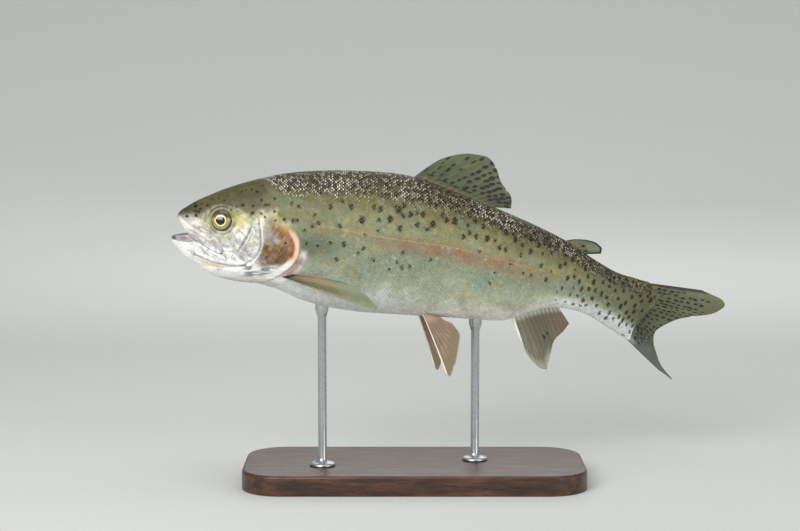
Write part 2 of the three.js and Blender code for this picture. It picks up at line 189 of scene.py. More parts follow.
def place(p):
    """Carries points of the straight fish, in millimetres, to their places in the bent one, in metres."""
    p = np.asarray(p, float)
    s = np.clip(p[..., 0], 0, LINE_LENGTH - LINE_STEP)
    i = np.floor(s / LINE_STEP).astype(int)
    along = direction(s)
    across = np.stack([-along[..., 1], along[..., 0], 0 * s], -1)
    across /= np.linalg.norm(across, axis=-1, keepdims=True)
    up = np.cross(along, across)
    middle = mix(swimming_line[i], swimming_line[i + 1], (s / LINE_STEP - i)[..., None])
    return MM * (
        middle + along * (p[..., 0] - s)[..., None] + across * p[..., 1:2] + up * p[..., 2:3]
    )


# ---------------------------------------------------------------- the body's form

back_line = through([
    [14, 17.6], [30, 25.8], [50, 33.8], [70, 39.9], [90, 43.5], [120, 46.6], [145, 47.8], [160, 46.9],
    [180, 42.6], [210, 37.2], [240, 32.4], [270, 27.6], [300, 21], [316, 19.2], [340, 23],
])
belly_line = through([
    [14, -28], [26, -34], [42, -36.6], [58, -37.6], [72, -41], [90, -47], [110, -50.4], [130, -51.2],
    [160, -49.8], [200, -46.2], [230, -42.6], [243, -39.6], [258, -31], [272, -24], [288, -19.2],
    [304, -17.8], [320, -19.6], [340, -22.6],
])
half_width = through([
    [14, 11.8], [30, 15.6], [50, 19.6], [70, 22.6], [86, 23.6], [110, 25.6], [140, 26.4], [170, 25.4],
    [200, 22.8], [230, 19], [260, 14], [285, 10], [310, 6.6], [340, 3.2],
])
widest_level = through([[14, -8.2], [30, -9], [55, -6], [85, -2], [130, 0], [340, 0]])
roof_squareness = through([[14, 2.3], [40, 2.35], [90, 2.2], [200, 2.1], [300, 1.9], [340, 1.8]])
floor_squareness = through([[14, 1.9], [60, 1.95], [110, 2.2], [210, 2.2], [300, 1.9], [340, 1.8]])

# The sections round the mouth: a side point, a roof point and a floor point as x, z, and a half width. They run
# out of the throat, round the lips, and back over the snout and chin.
MOUTH_SECTIONS = [
    [31, -9.5, 32, -7, 31, -13, 5], [22, -9, 22, -3, 22, -17, 9], [13, -8, 11, 0.6, 11, -15.6, 8.8],
    [9.8, -7.1, 3.4, 2.4, 0.6, -12, 8.4], [8.6, -6.8, 0.9, 1.8, -2, -9, 9.1],
    [8.5, -6.8, -0.4, 2.2, -3.2, -8.8, 9.8], [9.2, -7, -1.1, 4.8, -3.9, -11.4, 10.3],
    [10.2, -7.3, 0.8, 8.2, -2.4, -14.9, 10.7], [11.4, -7.6, 4.6, 11.2, 2.2, -18.9, 11.1],
    [12.7, -7.9, 9.2, 14.6, 7.4, -23.8, 11.5],
]
LIP_SECTION = 5
FIRST_UPRIGHT = 14  # behind this station every section is upright, and a place along the skin is its station
TAIL_FROM = 328  # behind this the flesh thins to a rounded edge over the roots of the tail fin
TAIL_END = 354.5
flesh_edge = through([
    [-24, 344], [-21.6, 346.7], [-11.8, 345.6], [0.2, 349.7], [13.7, 354.5], [19.5, 350.8], [23.6, 337],
])


def upright(x):
    return np.stack([x, widest_level(x), x, back_line(x), x, belly_line(x), half_width(x)], -1)


keys = np.concatenate([MOUTH_SECTIONS, upright(np.array([14.0, 17.0, 21.0, 26.0]))])
moves = np.abs(np.diff(keys, axis=0))
moves = (np.hypot(moves[:, 0], moves[:, 1]) + np.hypot(moves[:, 2], moves[:, 3])
         + np.hypot(moves[:, 4], moves[:, 5])) / 3
key_places = np.concatenate([[0], np.cumsum(moves)])
key_places += FIRST_UPRIGHT - key_places[len(MOUTH_SECTIONS)]
mouth_lines = [through(np.stack([key_places, values], -1)) for values in keys.T]
THROAT = key_places[0]
LIPS = key_places[LIP_SECTION]


def skin_at(q, a, grow=0.0):
    """The straight fish's surface at a place q along it and an angle a round it, moved outwards by grow.
    The angle is 0 at the left side, a quarter turn at the back and minus a quarter turn at the belly."""
    q, a = np.broadcast_arrays(np.asarray(q, float), np.asarray(a, float))
    t = clamp01((q - TAIL_FROM) / (TAIL_END - TAIL_FROM))
    x = np.where(q > TAIL_FROM, mix(TAIL_FROM, 340, t), np.maximum(q, FIRST_UPRIGHT))
    form = np.where((q < FIRST_UPRIGHT)[..., None],
                    np.stack([line(q) for line in mouth_lines], -1), upright(x))
    side_x, side_z, roof_x, roof_z, floor_x, floor_z, width = np.moveaxis(form, -1, 0)
    above = np.sin(a) >= 0
    end_x, end_z = np.where(above, roof_x, floor_x), np.where(above, roof_z, floor_z)
    power = 2 / np.where(above, roof_squareness(x), floor_squareness(x))
    share = np.abs(np.sin(a)) ** power * (1 + grow / np.hypot(end_x - side_x, end_z - side_z))
    z = side_z + (end_z - side_z) * share
    along = side_x + (end_x - side_x) * share
    along = np.where(q > TAIL_FROM, mix(TAIL_FROM, flesh_edge(z), t), along)
    thin = np.where(q > TAIL_FROM, mix(1.0, 0.3, t**1.6), 1.0)
    y = -(width * thin + grow * (1 - 0.7 * t)) * signed_power(np.cos(a), power)
    return np.stack([along, y, z], -1)


def outwards(q, a, grow=0.0):
    """The direction straight out of the skin."""
    by_q = skin_at(q + 0.3, a, grow) - skin_at(q - 0.3, a, grow)
    by_a = skin_at(q, a + 0.01, grow) - skin_at(q, a - 0.01, grow)
    n = np.cross(by_q, by_a)
    return n / np.maximum(np.linalg.norm(n, axis=-1, keepdims=True), 1e-9)


# How high each place lies: its distance round the skin from the lateral line, up positive, and that as a share
# of the way to the back (1) or the belly (-1).
side_line = through([
    [50, 8.6], [84, 7.9], [102, 7.4], [127, 4.8], [156, 3.8], [182, 3.8], [209, 1.9], [244, 0.8],
    [270, 1.7], [300, 0.8], [355, 0.4],
])
CHART_ANGLES = np.linspace(-np.pi / 2 - 0.5, np.pi / 2 + 0.5, 240)
CHART_STATIONS = np.arange(0.0, 356.0, 1.0)
CHART_HEIGHTS = np.arange(-75, 75.1, 0.5)
chart = skin_at(np.maximum(CHART_STATIONS, FIRST_UPRIGHT)[:, None], CHART_ANGLES[None, :])
chart_lengths = np.concatenate([
    np.zeros((len(chart), 1)),
    np.cumsum(np.linalg.norm(np.diff(chart[..., 1:], axis=1), axis=-1), axis=1),
], axis=1)
middle_part = np.abs(CHART_ANGLES) <= np.pi / 2
height_angles = np.empty((len(CHART_STATIONS), len(CHART_HEIGHTS)))
back_height = np.empty(len(CHART_STATIONS))
belly_height = np.empty(len(CHART_STATIONS))
line_lengths = np.empty(len(CHART_STATIONS))
for k, station in enumerate(CHART_STATIONS):
    at_line = np.interp(side_line(station), chart[k, middle_part, 2], chart_lengths[k, middle_part])
    line_lengths[k] = at_line
    height_angles[k] = np.interp(CHART_HEIGHTS + at_line, chart_lengths[k], CHART_ANGLES)
    back_height[k] = np.interp(np.pi / 2, CHART_ANGLES, chart_lengths[k]) - at_line
    belly_height[k] = at_line - np.interp(-np.pi / 2, CHART_ANGLES, chart_lengths[k])


def in_chart(table, q, column):
    """Reads a table of the chart between its rows and columns."""
    r = np.clip(q, 0, len(CHART_STATIONS) - 1.001)
    c = np.clip(column, 0, table.shape[1] - 1.001)
    i, k = r.astype(int), c.astype(int)
    top = mix(table[i, k], table[i, k + 1], c - k)
    return mix(top, mix(table[i + 1, k], table[i + 1, k + 1], c - k), r - i)


def angle_of(q, height):
    return in_chart(height_angles, q, (height - CHART_HEIGHTS[0]) * 2)


def height_of(q, a):
    """Height above the lateral line, for angles of the left side or mirrored ones of the right."""
    a = np.where(a > np.pi / 2, np.pi - a, a)
    step = CHART_ANGLES[1] - CHART_ANGLES[0]
    return in_chart(chart_lengths, q, (a - CHART_ANGLES[0]) / step) - np.interp(q, CHART_STATIONS, line_lengths)


def height_share(q, height):
    back = np.interp(q, CHART_STATIONS, back_height)
    belly = np.interp(q, CHART_STATIONS, belly_height)
    return height / np.where(height > 0, back, belly)


# ---------------------------------------------------------------- the lines of the head, in side view

EYE = dict(x=30.1, z=4.6, out=17.2, radius=7.8, depth=4.8, turn=12, tilt=6)
EYE_SHOWS = 6.9  # the radius at which the eyeball comes out of the skin
FREE_EDGE = [  # the rear edge of the gill cover, and of the membrane under it
    [56.5, 15.4], [62.6, 15], [69.4, 10.8], [76.8, 4.6], [82, -2], [83.8, -8.6], [82.8, -15.8],
    [78.6, -22.6], [72, -28.6], [63, -33.8], [52, -36.2], [40, -36.4],
]
PREOPERCLE = [[55, 12], [55.2, 7], [57.4, -7], [57, -12.5], [54.3, -18], [49.5, -23], [41.8, -26.4], [34, -27.4]]
PREOPERCLE_FRONT = [[51.4, 7], [50, 1], [47, -6.6], [43.8, -12.5], [41, -18]]
SUBOPERCLE = [[57.4, -13], [62, -17.5], [69, -20.2], [76, -20.6], [81.6, -19.6]]
MAXILLA = [
    [5.4, -1.6], [10, -1.4], [17, -4], [24, -8.4], [30, -12.8], [32.2, -15.8], [31, -17.6], [27, -17],
    [20, -13.6], [12, -9.6], [8.2, -7.2],
]
SUPRAMAXILLA = [[15, -1.2], [20, -2.8], [27, -7.6], [33, -13.2]]
JAW_CREASE = [[9, -18], [12.6, -20.3], [16.5, -21.9], [25, -24.3], [34, -25.3], [42, -25.2], [48, -24.6]]
MAXILLA_CREASE = [[9, -3.6], [15, -6], [22, -10.4], [28.6, -15]]
UPPER_LIP = [[1.6, 4.6], [4.6, 2.4], [8.6, -0.2], [13.6, -2.9]]
LOWER_LIP = [[-2.6, -11.6], [1, -12.2], [5, -12.4], [10, -11.6], [16, -10.4]]
JAW_BONE = [[1, -13.6], [8, -14.6], [16, -18.4], [25, -21.6], [34, -22.4]]
SUBORBITALS = [[20, 0], [24.5, -5.4], [31, -8.4], [38, -7], [42.4, -1.5], [43, 5]]
SKULL_EDGE = [[22, 10.4], [28, 15.6], [36, 16.6], [44, 13.4], [52, 14], [58, 18]]
NOSTRILS = [(11.6, 9.6, 0.75), (13.9, 9.2, 0.6)]  # x, z and radius
LINE_OF_SCALES = [  # the scales start behind this: down the nape, behind the gill cover, and under the throat
    [50, 44], [53, 37], [56, 32], [60.6, 27.2], [65.4, 22.2], [69.4, 17.6], [73, 11.6], [79.4, 5.4],
    [85.6, -1.6], [88.2, -8.6], [88.4, -16.4], [85.6, -23.4], [80, -30.4], [72, -36.6], [65, -43], [62, -60],
]


def eye_distance(x, z):
    return np.hypot(x - EYE["x"], z - EYE["z"])


def head_relief(x, z):
    """How far the bones, folds and pits of the head stand out of its plain form, or go in."""
    d = np.zeros(np.shape(x))
    edge = -off_line(x, z, FREE_EDGE)  # positive on the gill cover, negative behind it
    inner = off_line(x, z, PREOPERCLE)  # positive behind the preopercle
    cover = (edge > -0.4) & (inner > -0.6) & (x > 30) & (z < 16)
    plate = smooth((edge + 0.35) / 0.5) * smooth((inner - 0.2) / 1.2) * smooth((15.4 - z) / 4)
    d += plate * mix(0.45, 0.95, clamp01(1 - edge / 26))
    d -= 0.9 * hill(edge + 1.0, 0.7) * smooth((x - 40) / 14) * smooth((15.5 - z) / 3)
    d -= 1.0 * hill(inner, 0.45) * smooth((13 - z) / 4)
    d += 0.55 * hill(inner + 1.7, 1.2) * smooth((13 - z) / 4) * smooth((x - 36) / 8)
    d += 0.35 * hill(inner - 1.5, 0.9) * smooth((10 - z) / 4) * smooth((x - 50) / 4)
    front = off_line(x, z, PREOPERCLE_FRONT)
    d -= 0.7 * hill(front, 0.42) * smooth((z + 19) / 4) * smooth((8 - z) / 3)
    d += 0.35 * hill(front + 1.2, 1.0) * smooth((z + 20) / 4) * smooth((9 - z) / 3)
    suture = off_line(x, z, SUBOPERCLE)
    d -= 0.4 * hill(suture, 0.4) * cover * smooth((80 - x) / 3)
    # The branchiostegal rays fan out along the membrane under the gill cover.
    for k in range(9):
        start, end = [40 + 1.6 * k, -28.6 - 0.95 * k], [62 + 1.9 * k, -24.4 - 1.5 * k]
        ray = off_line(x, z, [start, [mix(start[0], end[0], 0.5), mix(start[1], end[1], 0.5) - 1.2], end])
        d += 0.3 * hill(ray, 0.5)
    # The upper jaw: its lip, the long maxilla with a crease down it, and the small bone over that.
    jaw = -off_line(x, z, MAXILLA, closed=True)
    d += 0.8 * smooth((jaw + 0.1) / 0.6) * smooth((x - 4) / 3)
    d -= 0.75 * hill(jaw + 0.5, 0.42) * smooth((x - 8) / 4)
    d -= 0.3 * hill(off_line(x, z, MAXILLA_CREASE), 0.4)
    upper = off_line(x, z, SUPRAMAXILLA)
    d -= 0.5 * hill(upper, 0.42)
    d += 0.25 * hill(upper + 1.2, 0.9)
    lip = off_line(x, z, UPPER_LIP)
    d -= 0.4 * hill(lip, 0.5)
    d += 0.3 * hill(lip + 1.4, 0.9)
    # The lower jaw: the crease between the bone and the throat, and the bone's own ridge.
    crease = off_line(x, z, JAW_CREASE)
    d -= 0.9 * hill(crease, 0.55)
    d += 0.5 * hill(crease - 1.7, 1.3) - 0.1 * hill(crease + 1.8, 1.2)
    d -= 0.2 * hill(off_line(x, z, JAW_BONE), 0.5)
    d -= 0.35 * hill(off_line(x, z, LOWER_LIP), 0.5)
    # Bones under the eye, and the edge of the skull over it.
    d -= 0.3 * hill(off_line(x, z, SUBORBITALS), 0.45)
    d -= 0.12 * hill(off_line(x, z, SKULL_EDGE), 1.2)
    # The eye's socket, the fold of skin round it and the bony rim.
    r = eye_distance(x, z)
    d -= 3.4 * smooth((EYE_SHOWS + 0.1 - r) / 1.5)
    d += 0.36 * hill(r - 7.8, 0.65)
    d -= 0.45 * hill(r - 9.0, 0.55) * (0.5 + 0.5 * smooth((z - EYE["z"]) / 6))
    d += 0.5 * hill(r - 10.6, 1.2) * smooth((z - EYE["z"] + 2) / 6)
    for px, pz, radius in NOSTRILS:
        pit = np.hypot(x - px, (z - pz) * 1.2)
        d -= 1.3 * smooth((radius + 0.25 - pit) / 0.5)
        d += 0.3 * hill(pit - radius - 0.55, 0.35)
    # The sensory pores along the jaw and the cheek.
    for k in range(9):
        d -= 0.3 * hill(np.hypot(x - 6 - 3.6 * k, z + 17.4 + 1.15 * k - 0.05 * k * k), 0.42)
        angle = math.radians(200 + 17 * k)
        d -= 0.3 * hill(
            np.hypot(x - EYE["x"] - 13.4 * math.cos(angle), z - EYE["z"] - 12.4 * math.sin(angle)), 0.45)
    # Fine wrinkles in the skin of the cheek, drawn out down and back.
    cheek = smooth((r - 8) / 3) * smooth((12 - z) / 6)
    u, w = 0.8 * x - 0.6 * z, 0.6 * x + 0.8 * z
    d += cheek * (0.11 * cloud(w * 0.9, u * 0.4, 1.1, 3) + 0.05 * cloud(x, z, 0.8, 4))
    d += 0.06 * cloud(x, z, 3.4, 5)
    return d


# ---------------------------------------------------------------- the colours of the skin

BACK_RIDGE, BACK, UPPER_FLANK, FLANK, BAND = pigments("#473f28", "#5d573d", "#716d49", "#8c8b68", "#92705a")
UNDER_BAND, LOWER_FLANK, BELLY, OCHRE, BLUE_GREEN = pigments("#8a937a", "#b3b9a4", "#dddacf", "#a39a6c", "#7a8e80")
TAIL_STALK, TAIL_EDGE_SILVER_AND_GLINT, TAIL_OLIVE, BREAST_WHITE_AND_GLINT, GIRDLE = pigments("#75775b", "#d9dedb", "#5f6146", "#e2e7e6", "#8f6245")
PEARL, JAW_WHITE, CROWN, SNOUT, NAPE, TAN = pigments("#d3d1c5", "#f3f3ef", "#4b482d", "#393b24", "#423d28", "#857c4e")
GOLD, LILAC, THROAT_PINK_AND_SHADE, RUST, ORANGE, SALMON = pigments(
    "#cdc688", "#968a94", "#5e3d3c", "#724c2e", "#a05c38", "#ecc6ac")
DARK_PIGMENT_AND_SHADE, GREY_STREAK_AND_SHADE, AMBER, BLUE_GREY, COPPER, MEMBRANE_AND_HIGHLIGHT_WHITE = pigments(
    "#332f1c", "#8a908a", "#e3c48f", "#93a3aa", "#866244", "#f2efe8")


def spray(x, z, cx, cz, rx, rz, turn=0.0):
    """A soft oval patch of colour: 1 in its middle, 0 at its edge."""
    c, s = math.cos(math.radians(turn)), math.sin(math.radians(turn))
    u, w = (x - cx) * c + (z - cz) * s, (z - cz) * c - (x - cx) * s
    return smooth(1.25 * (1 - np.hypot(u / rx, w / rz)))


def body_colour(x, height, share):
    """The colours of the back, flanks, band and belly."""
    wander = 0.06 * cloud(x, height, 9, 11) + 0.03 * cloud(x, height, 3.5, 12)
    h = share + wander
    c, lay = painting(BELLY, x.shape)
    lay(LOWER_FLANK, smooth((h + 0.86) / 0.3))
    lay(UNDER_BAND, smooth((h + 0.62) / 0.45))
    lay(FLANK, smooth((h + 0.16) / 0.2))
    lay(UPPER_FLANK, smooth((h - 0.06) / 0.4))
    lay(BACK, smooth((h - 0.42) / 0.3))
    lay(BACK_RIDGE, smooth((h - 0.78) / 0.25))
    flank = smooth((h + 0.75) / 0.2) * smooth((0.55 - h) / 0.2)
    lay(OCHRE, 0.3 * flank * smooth(1.6 * cloud(x, 1.5 * height, 7.5, 14)))
    lay(BLUE_GREEN, 0.3 * flank * smooth(1.6 * cloud(x, 1.5 * height, 9, 15)))
    # The pink-orange band lies along the lateral line and mostly under it.
    run = smooth((x - 96) / 70) * smooth((290 - x) / 70)
    band = smooth((height + 13.5) / 10) * smooth((5 - height) / 6) * run
    lay(BAND, band * (0.6 + 0.35 * cloud(x, height * 2, 7, 13)))
    # The stalk of the tail is dark, down to a bluish silver lower edge that is brightened as a painted glint.
    stalk = smooth((x - 262) / 62)
    lay(TAIL_STALK, stalk * smooth((h + 0.5) / 0.5) * 0.8)
    lay(TAIL_EDGE_SILVER_AND_GLINT, smooth((x - 250) / 40) * smooth((-0.4 - h) / 0.25))
    lay(AMBER, 0.3 * spray(x, height, 338, 17, 16, 8))
    lay(TAIL_OLIVE, 0.75 * smooth((x - 330) / 16) * smooth((h + 0.7) / 0.3))
    # The silvery white breast, brightened further as a painted glint.
    lay(BREAST_WHITE_AND_GLINT, 0.9 * smooth((-0.5 - h) / 0.22) * smooth((x - 66) / 18) * smooth((188 - x) / 55))
    # The shoulder is painted darker, most of all just behind the gill cover, and the flank before the tail paler.
    deeper = 1 - 0.17 * smooth((132 - x) / 42) * smooth((share + 0.5) / 0.3)
    deeper = deeper * (1 - 0.3 * spray(x, height, 93, -15, 26, 15))
    paler = 1 + 0.2 * smooth((x - 160) / 50) * smooth((312 - x) / 25) * smooth((0.45 - share) / 0.4)
    return c * (deeper * paler)[..., None]


def head_colour(x, z):
    """The colours of the head, laid over each other from the palest."""
    c, lay = painting(PEARL, x.shape)
    lay(JAW_WHITE, smooth((-8 - z) / 8))
    edge = -off_line(x, z, FREE_EDGE)
    inner = off_line(x, z, PREOPERCLE)
    front = off_line(x, z, PREOPERCLE_FRONT)
    r = eye_distance(x, z)
    ragged = cloud(x, z, 2.6, 21) + 0.6 * cloud(x, z, 1.2, 22)
    streaks = cloud(0.9 * (0.6 * x + 0.8 * z), 0.4 * (0.8 * x - 0.6 * z), 0.9, 26)
    # Grey, lilac and gold in the foil of the cheek; the grey and lilac streaks are partly its own tint and partly
    # painted soft shade.
    cheek = smooth((x - 9) / 5) * smooth((z + 25) / 6)
    broad = cloud(0.35 * (0.6 * x + 0.8 * z), 0.12 * (0.8 * x - 0.6 * z), 0.8, 24)
    lay(GREY_STREAK_AND_SHADE, 0.6 * cheek * smooth((streaks - 0.05) / 0.5))
    lay(LILAC, 0.5 * cheek * smooth((broad - 0.05) / 0.5))
    lay(BLUE_GREY, 0.7 * spray(x, z, 38.6, -9.6, 4.6, 7.4, 10) * (0.7 + 0.5 * ragged))
    lay(GREY_STREAK_AND_SHADE, 0.55 * spray(x, z, 49, -13, 7, 9, 15) * (0.4 + ragged))
    lay(LILAC, 0.4 * spray(x, z, 53, -1, 3.4, 10) * (0.6 + ragged))
    lay(GOLD, 0.8 * spray(x, z, 42, 6.4, 11, 8.6) + 0.45 * spray(x, z, 21, 6, 9, 9))
    lay(TAN, 0.55 * spray(x, z, 19, 3.4, 6.5, 8, -20) + 0.3 * spray(x, z, 33, -6.5, 9, 3.4))
    lay(GREY_STREAK_AND_SHADE, 0.5 * smooth(-off_line(x, z, MAXILLA, True) / 1.5) * (0.3 + 0.8 * ragged))
    # Lilac along the grooves of the upper jaw is partly its own tint and partly painted shade, and a lilac band lies
    # over the upper lip; the darker lilac lines along the maxilla's edge and over the lip are painted shade.
    lay(LILAC, 0.55 * hill(off_line(x, z, SUPRAMAXILLA), 1.0) + 0.35 * hill(off_line(x, z, MAXILLA_CREASE), 0.7))
    lay(LILAC, 0.45 * hill(off_line(x, z, UPPER_LIP) - 2.2, 2.0) * smooth((9 - x) / 5))
    lay(LILAC * 0.5, 0.5 * hill(off_line(x, z, MAXILLA, True), 0.45) * smooth((x - 8) / 5))
    for off, tone in ((0.9, 0.45), (2.6, 0.35)):
        lay(LILAC * 0.6, tone * hill(off_line(x, z, UPPER_LIP) - off, 0.4) * smooth((17 - x) / 5))
    # Grains of black pigment scattered over the pearl.
    grains = smooth((cloud(x, z, 0.62, 27) - 0.52) / 0.2)
    lay(DARK_PIGMENT_AND_SHADE, 0.5 * grains * cheek * smooth((62 - x) / 6) * smooth((r - 9) / 2))
    # The gill cover: lilac grey and gold above, rust below, with a red rim, a salmon edge and a white membrane.
    cover = smooth((inner - 0.8) / 1.2) * smooth((edge + 0.5) / 0.8)
    lay(TAN * 1.2, 0.6 * cover * smooth((z + 22) / 6) * smooth((x - 58) / 3))
    lay(GREY_STREAK_AND_SHADE, 0.75 * cover * spray(x, z, 65, -1, 9.5, 11) * (0.6 + 0.8 * ragged))
    lay(LILAC, 0.85 * cover * spray(x, z, 65.5, -2.6, 8, 8.6) * (0.7 + 0.7 * ragged))
    lay(TAN, 0.75 * cover * spray(x, z, 64, 6.6, 6.4, 6.4, -50) * (0.8 + 0.4 * ragged))
    rust = smooth((x - 56) / 4) * smooth((-4.4 - z - 0.2 * (x - 62) + 1.8 * ragged) / 5)
    rust = rust * smooth((z + 25.5 + 0.22 * (60 - x)) / 4)
    lay(RUST, 0.92 * cover * rust * clamp01(0.85 + 0.35 * ragged))
    lay(AMBER, 0.22 * cover * rust * smooth((streaks - 0.25) / 0.4))
    copper = smooth((15 - edge + 2.2 * ragged) / 6) * smooth((7 - z + 1.5 * ragged) / 6) * smooth((z + 24) / 5)
    lay(COPPER, cover * copper * smooth((x - 62) / 5) * clamp01(0.7 + 0.4 * ragged))
    lay(RUST * 0.75, 0.6 * cover * rust * smooth((0.15 - ragged) / 0.5) * smooth((9 + edge) / 12))
    lay(GREY_STREAK_AND_SHADE, 0.8 * cover * spray(x, z, 57.4, -18, 4.2, 5.4, -30))
    fine = cloud(x, 0.6 * z, 0.9, 41)
    lay(GREY_STREAK_AND_SHADE * 0.6, 0.6 * cover * spray(x, z, 63, 2, 8, 13) * smooth((fine - 0.1) / 0.4))
    rim = smooth((8.6 - edge + 1.6 * ragged) / 4.5) * smooth((7.6 - z) / 5) * smooth((z + 23) / 6)
    lay(ORANGE, 0.8 * cover * rim)
    drawn = cloud(x - 0.35 * z, 0.4 * z + 0.15 * x, 1.3, 42) + 0.4 * cloud(x, z, 1.1, 43)
    lay(RUST * 0.6, 0.45 * cover * np.maximum(copper, rust) * smooth((drawn - 0.1) / 0.6)
             * smooth((edge - 2.5) / 2))
    lay(AMBER, 0.18 * cover * np.maximum(copper, rust) * smooth((-0.25 - drawn) / 0.5))
    lay(COPPER, 0.6 * cover * rim * smooth((edge - 3.4) / 2) * smooth((ragged - 0.1) / 0.5) * smooth((z + 6) / 6))
    lay(SALMON, cover * smooth((3.9 - edge) / 1.8) * smooth((5 - z) / 5) * smooth((x - 73) / 4))
    white = smooth((edge + 0.5) / 0.8) * smooth((5.4 - edge) / 2.0) * smooth((-14.4 - z) / 6)
    lay(MEMBRANE_AND_HIGHLIGHT_WHITE, white)
    # Painted shade under the head, grey over the throat and the gill membrane.
    lay(GREY_STREAK_AND_SHADE, 0.5 * spray(x, z, 66, -37, 26, 6, -8) + 0.4 * spray(x, z, 40, -36, 20, 4))
    # Grey streaks between the rays of the membrane.
    under = smooth((x - 43) / 9) * smooth((-21.5 - z + 0.06 * (x - 50)) / 3) * smooth((edge - 3.6) / 2)
    lay(GREY_STREAK_AND_SHADE, 0.95 * under * smooth(0.5 + 1.5 * cloud(x * 0.16, z - 0.1 * x, 0.9, 23)))
    # Painted shade in the grooves of the preopercle, and a painted highlight along the ridge behind it.
    lay(DARK_PIGMENT_AND_SHADE, 0.6 * hill(inner, 0.42) * smooth((9 - z) / 4) * smooth((z + 20) / 6))
    lay(MEMBRANE_AND_HIGHLIGHT_WHITE, 0.7 * hill(inner - 1.4, 0.8) * smooth((11 - z) / 4) * smooth((z + 12) / 6))
    lay(DARK_PIGMENT_AND_SHADE, 0.42 * hill(front, 0.42) * smooth((z + 17) / 4) * smooth((6 - z) / 3))
    # The crease of the lower jaw is pink in front and amber behind; the lilac in the crease itself is partly its
    # own tint and partly painted shade.
    crease = off_line(x, z, JAW_CREASE)
    lay(AMBER, 0.75 * hill(crease + 1.7, 1.3) * smooth((x - 15) / 5) * smooth((38 - x) / 8))
    lay(LILAC, 0.7 * hill(crease + 0.2, 0.6) * smooth((x - 7) / 4))
    lay(LILAC, 0.5 * hill(np.hypot((x - 30.6) / 2.2, z + 28.4), 0.8))
    # The olive top of the head comes down to the eye, the nostril and the nape.
    top = through([[-4, 4.5], [2, 4.6], [8, 4.4], [14, 5.2], [20, 9], [30, 12.6], [40, 10.8], [50, 9.4], [58, 12.8],
                   [66, 13.6], [70, 8.6], [84, 6]])
    mottled = mix(0.35, 1.0, smooth((x - 26) / 12))
    crown = smooth((z - top(x) + mottled * (1.8 * ragged + 1.2 * streaks)) / 9 + 0.45)
    lay(GOLD, 0.55 * hill(z - top(x) + 1.5 * ragged, 4) * smooth((x - 30) / 8) * smooth((ragged + 0.5) / 0.6))
    shade, tint = painting(CROWN, x.shape)
    tint(SNOUT, smooth((20 - x) / 18))
    tint(NAPE, smooth((x - 46) / 22) * smooth((z - 14) / 8))
    tint(UPPER_FLANK, 0.75 * smooth((x - 52 + 2 * ragged) / 12) * smooth((34 - z) / 10))
    tint(TAN, 0.32 * spray(x, z, 46, 13, 17, 7) + 0.4 * spray(x, z, 68, 13, 7, 8))
    shade = shade * (1 + 0.14 * cloud(x, z, 4.5, 28) + 0.1 * cloud(x, z, 1.3, 29))[..., None]
    lay(shade, crown)
    # The skin round the eye, and the dark lines over it.
    lay(TAN, 0.8 * hill(r - 8.6, 1.7) * clamp01(0.75 + 0.5 * ragged))
    above = smooth((z - EYE["z"] - 1) / 5)
    lay(DARK_PIGMENT_AND_SHADE, 0.75 * hill(r - 7.6, 0.75) * (0.35 + 0.65 * above))
    lay(DARK_PIGMENT_AND_SHADE, 0.85 * hill(r - 9.7, 0.45) * above * smooth((39 - x) / 6))
    lay(TAN * 1.5, 0.5 * hill(r - 8.8, 0.4) * above)
    lay(DARK_PIGMENT_AND_SHADE, 0.55 * hill(r - 11.4, 0.6) * smooth((20.5 - x) / 2) * smooth((z - 2) / 3))
    # The lower lip is lilac, with a dusky tip.
    lip = smooth((z + 12.4 + 0.05 * x) / 1.2) * smooth((17 - x) / 9) * smooth((-5.4 - z) / 1.5)
    lay(LILAC, 0.72 * lip)
    lay(LILAC * 0.62, 0.75 * spray(x, z, 4.6, -9.4, 5, 2.2))
    lay(BLUE_GREY * 0.25, spray(x, z, -2, -9.8, 3, 2.2))
    return c


def fish_colour(x, z, q, height, share):
    """The colour of the skin at any place, in front of the scales and behind."""
    c = body_colour(x, height, share)
    near = x < 130
    if near.any():
        xs, zs = x[near], z[near]
        # The silvery white breast, brightened further as a painted glint.
        c[near] = over(c[near], BREAST_WHITE_AND_GLINT, spray(xs, height[near], 86, -58, 44, 21, -8))
        edge = -off_line(xs, zs, FREE_EDGE)
        girdle = hill(edge + 2.6, 2.6) * smooth((xs - 66) / 6) * smooth((-10 - zs) / 9) * smooth((zs + 34) / 8)
        c[near] = over(c[near], GIRDLE, 0.8 * girdle)
        head = head_colour(xs, zs)
        head = over(head, GIRDLE, 0.8 * girdle * smooth(-edge / 1.2))
        back_of = smooth(off_line(xs, zs, LINE_OF_SCALES) / 3.0 + 0.5)
        open_skin = smooth((-0.1 - edge) / 0.9) * smooth((zs + 15) / 7) * smooth((9 - zs) / 5) * smooth((xs - 66) / 6)
        c[near] = head + (c[near] - head) * np.maximum(back_of, open_skin)[..., None]
        # The mouth is lined with lilac and painted darker deeper in: partly the throat's own deeper pink, partly
        # painted shade in the mouth's depth.
        lining = smooth((LIPS + 0.6 - q[near]) / 1.6)
        c[near] = over(c[near], LILAC, lining)
        c[near] = over(c[near], THROAT_PINK_AND_SHADE, smooth((LIPS - 6 - q[near]) / 12))
    return c


# ---------------------------------------------------------------- the black marks

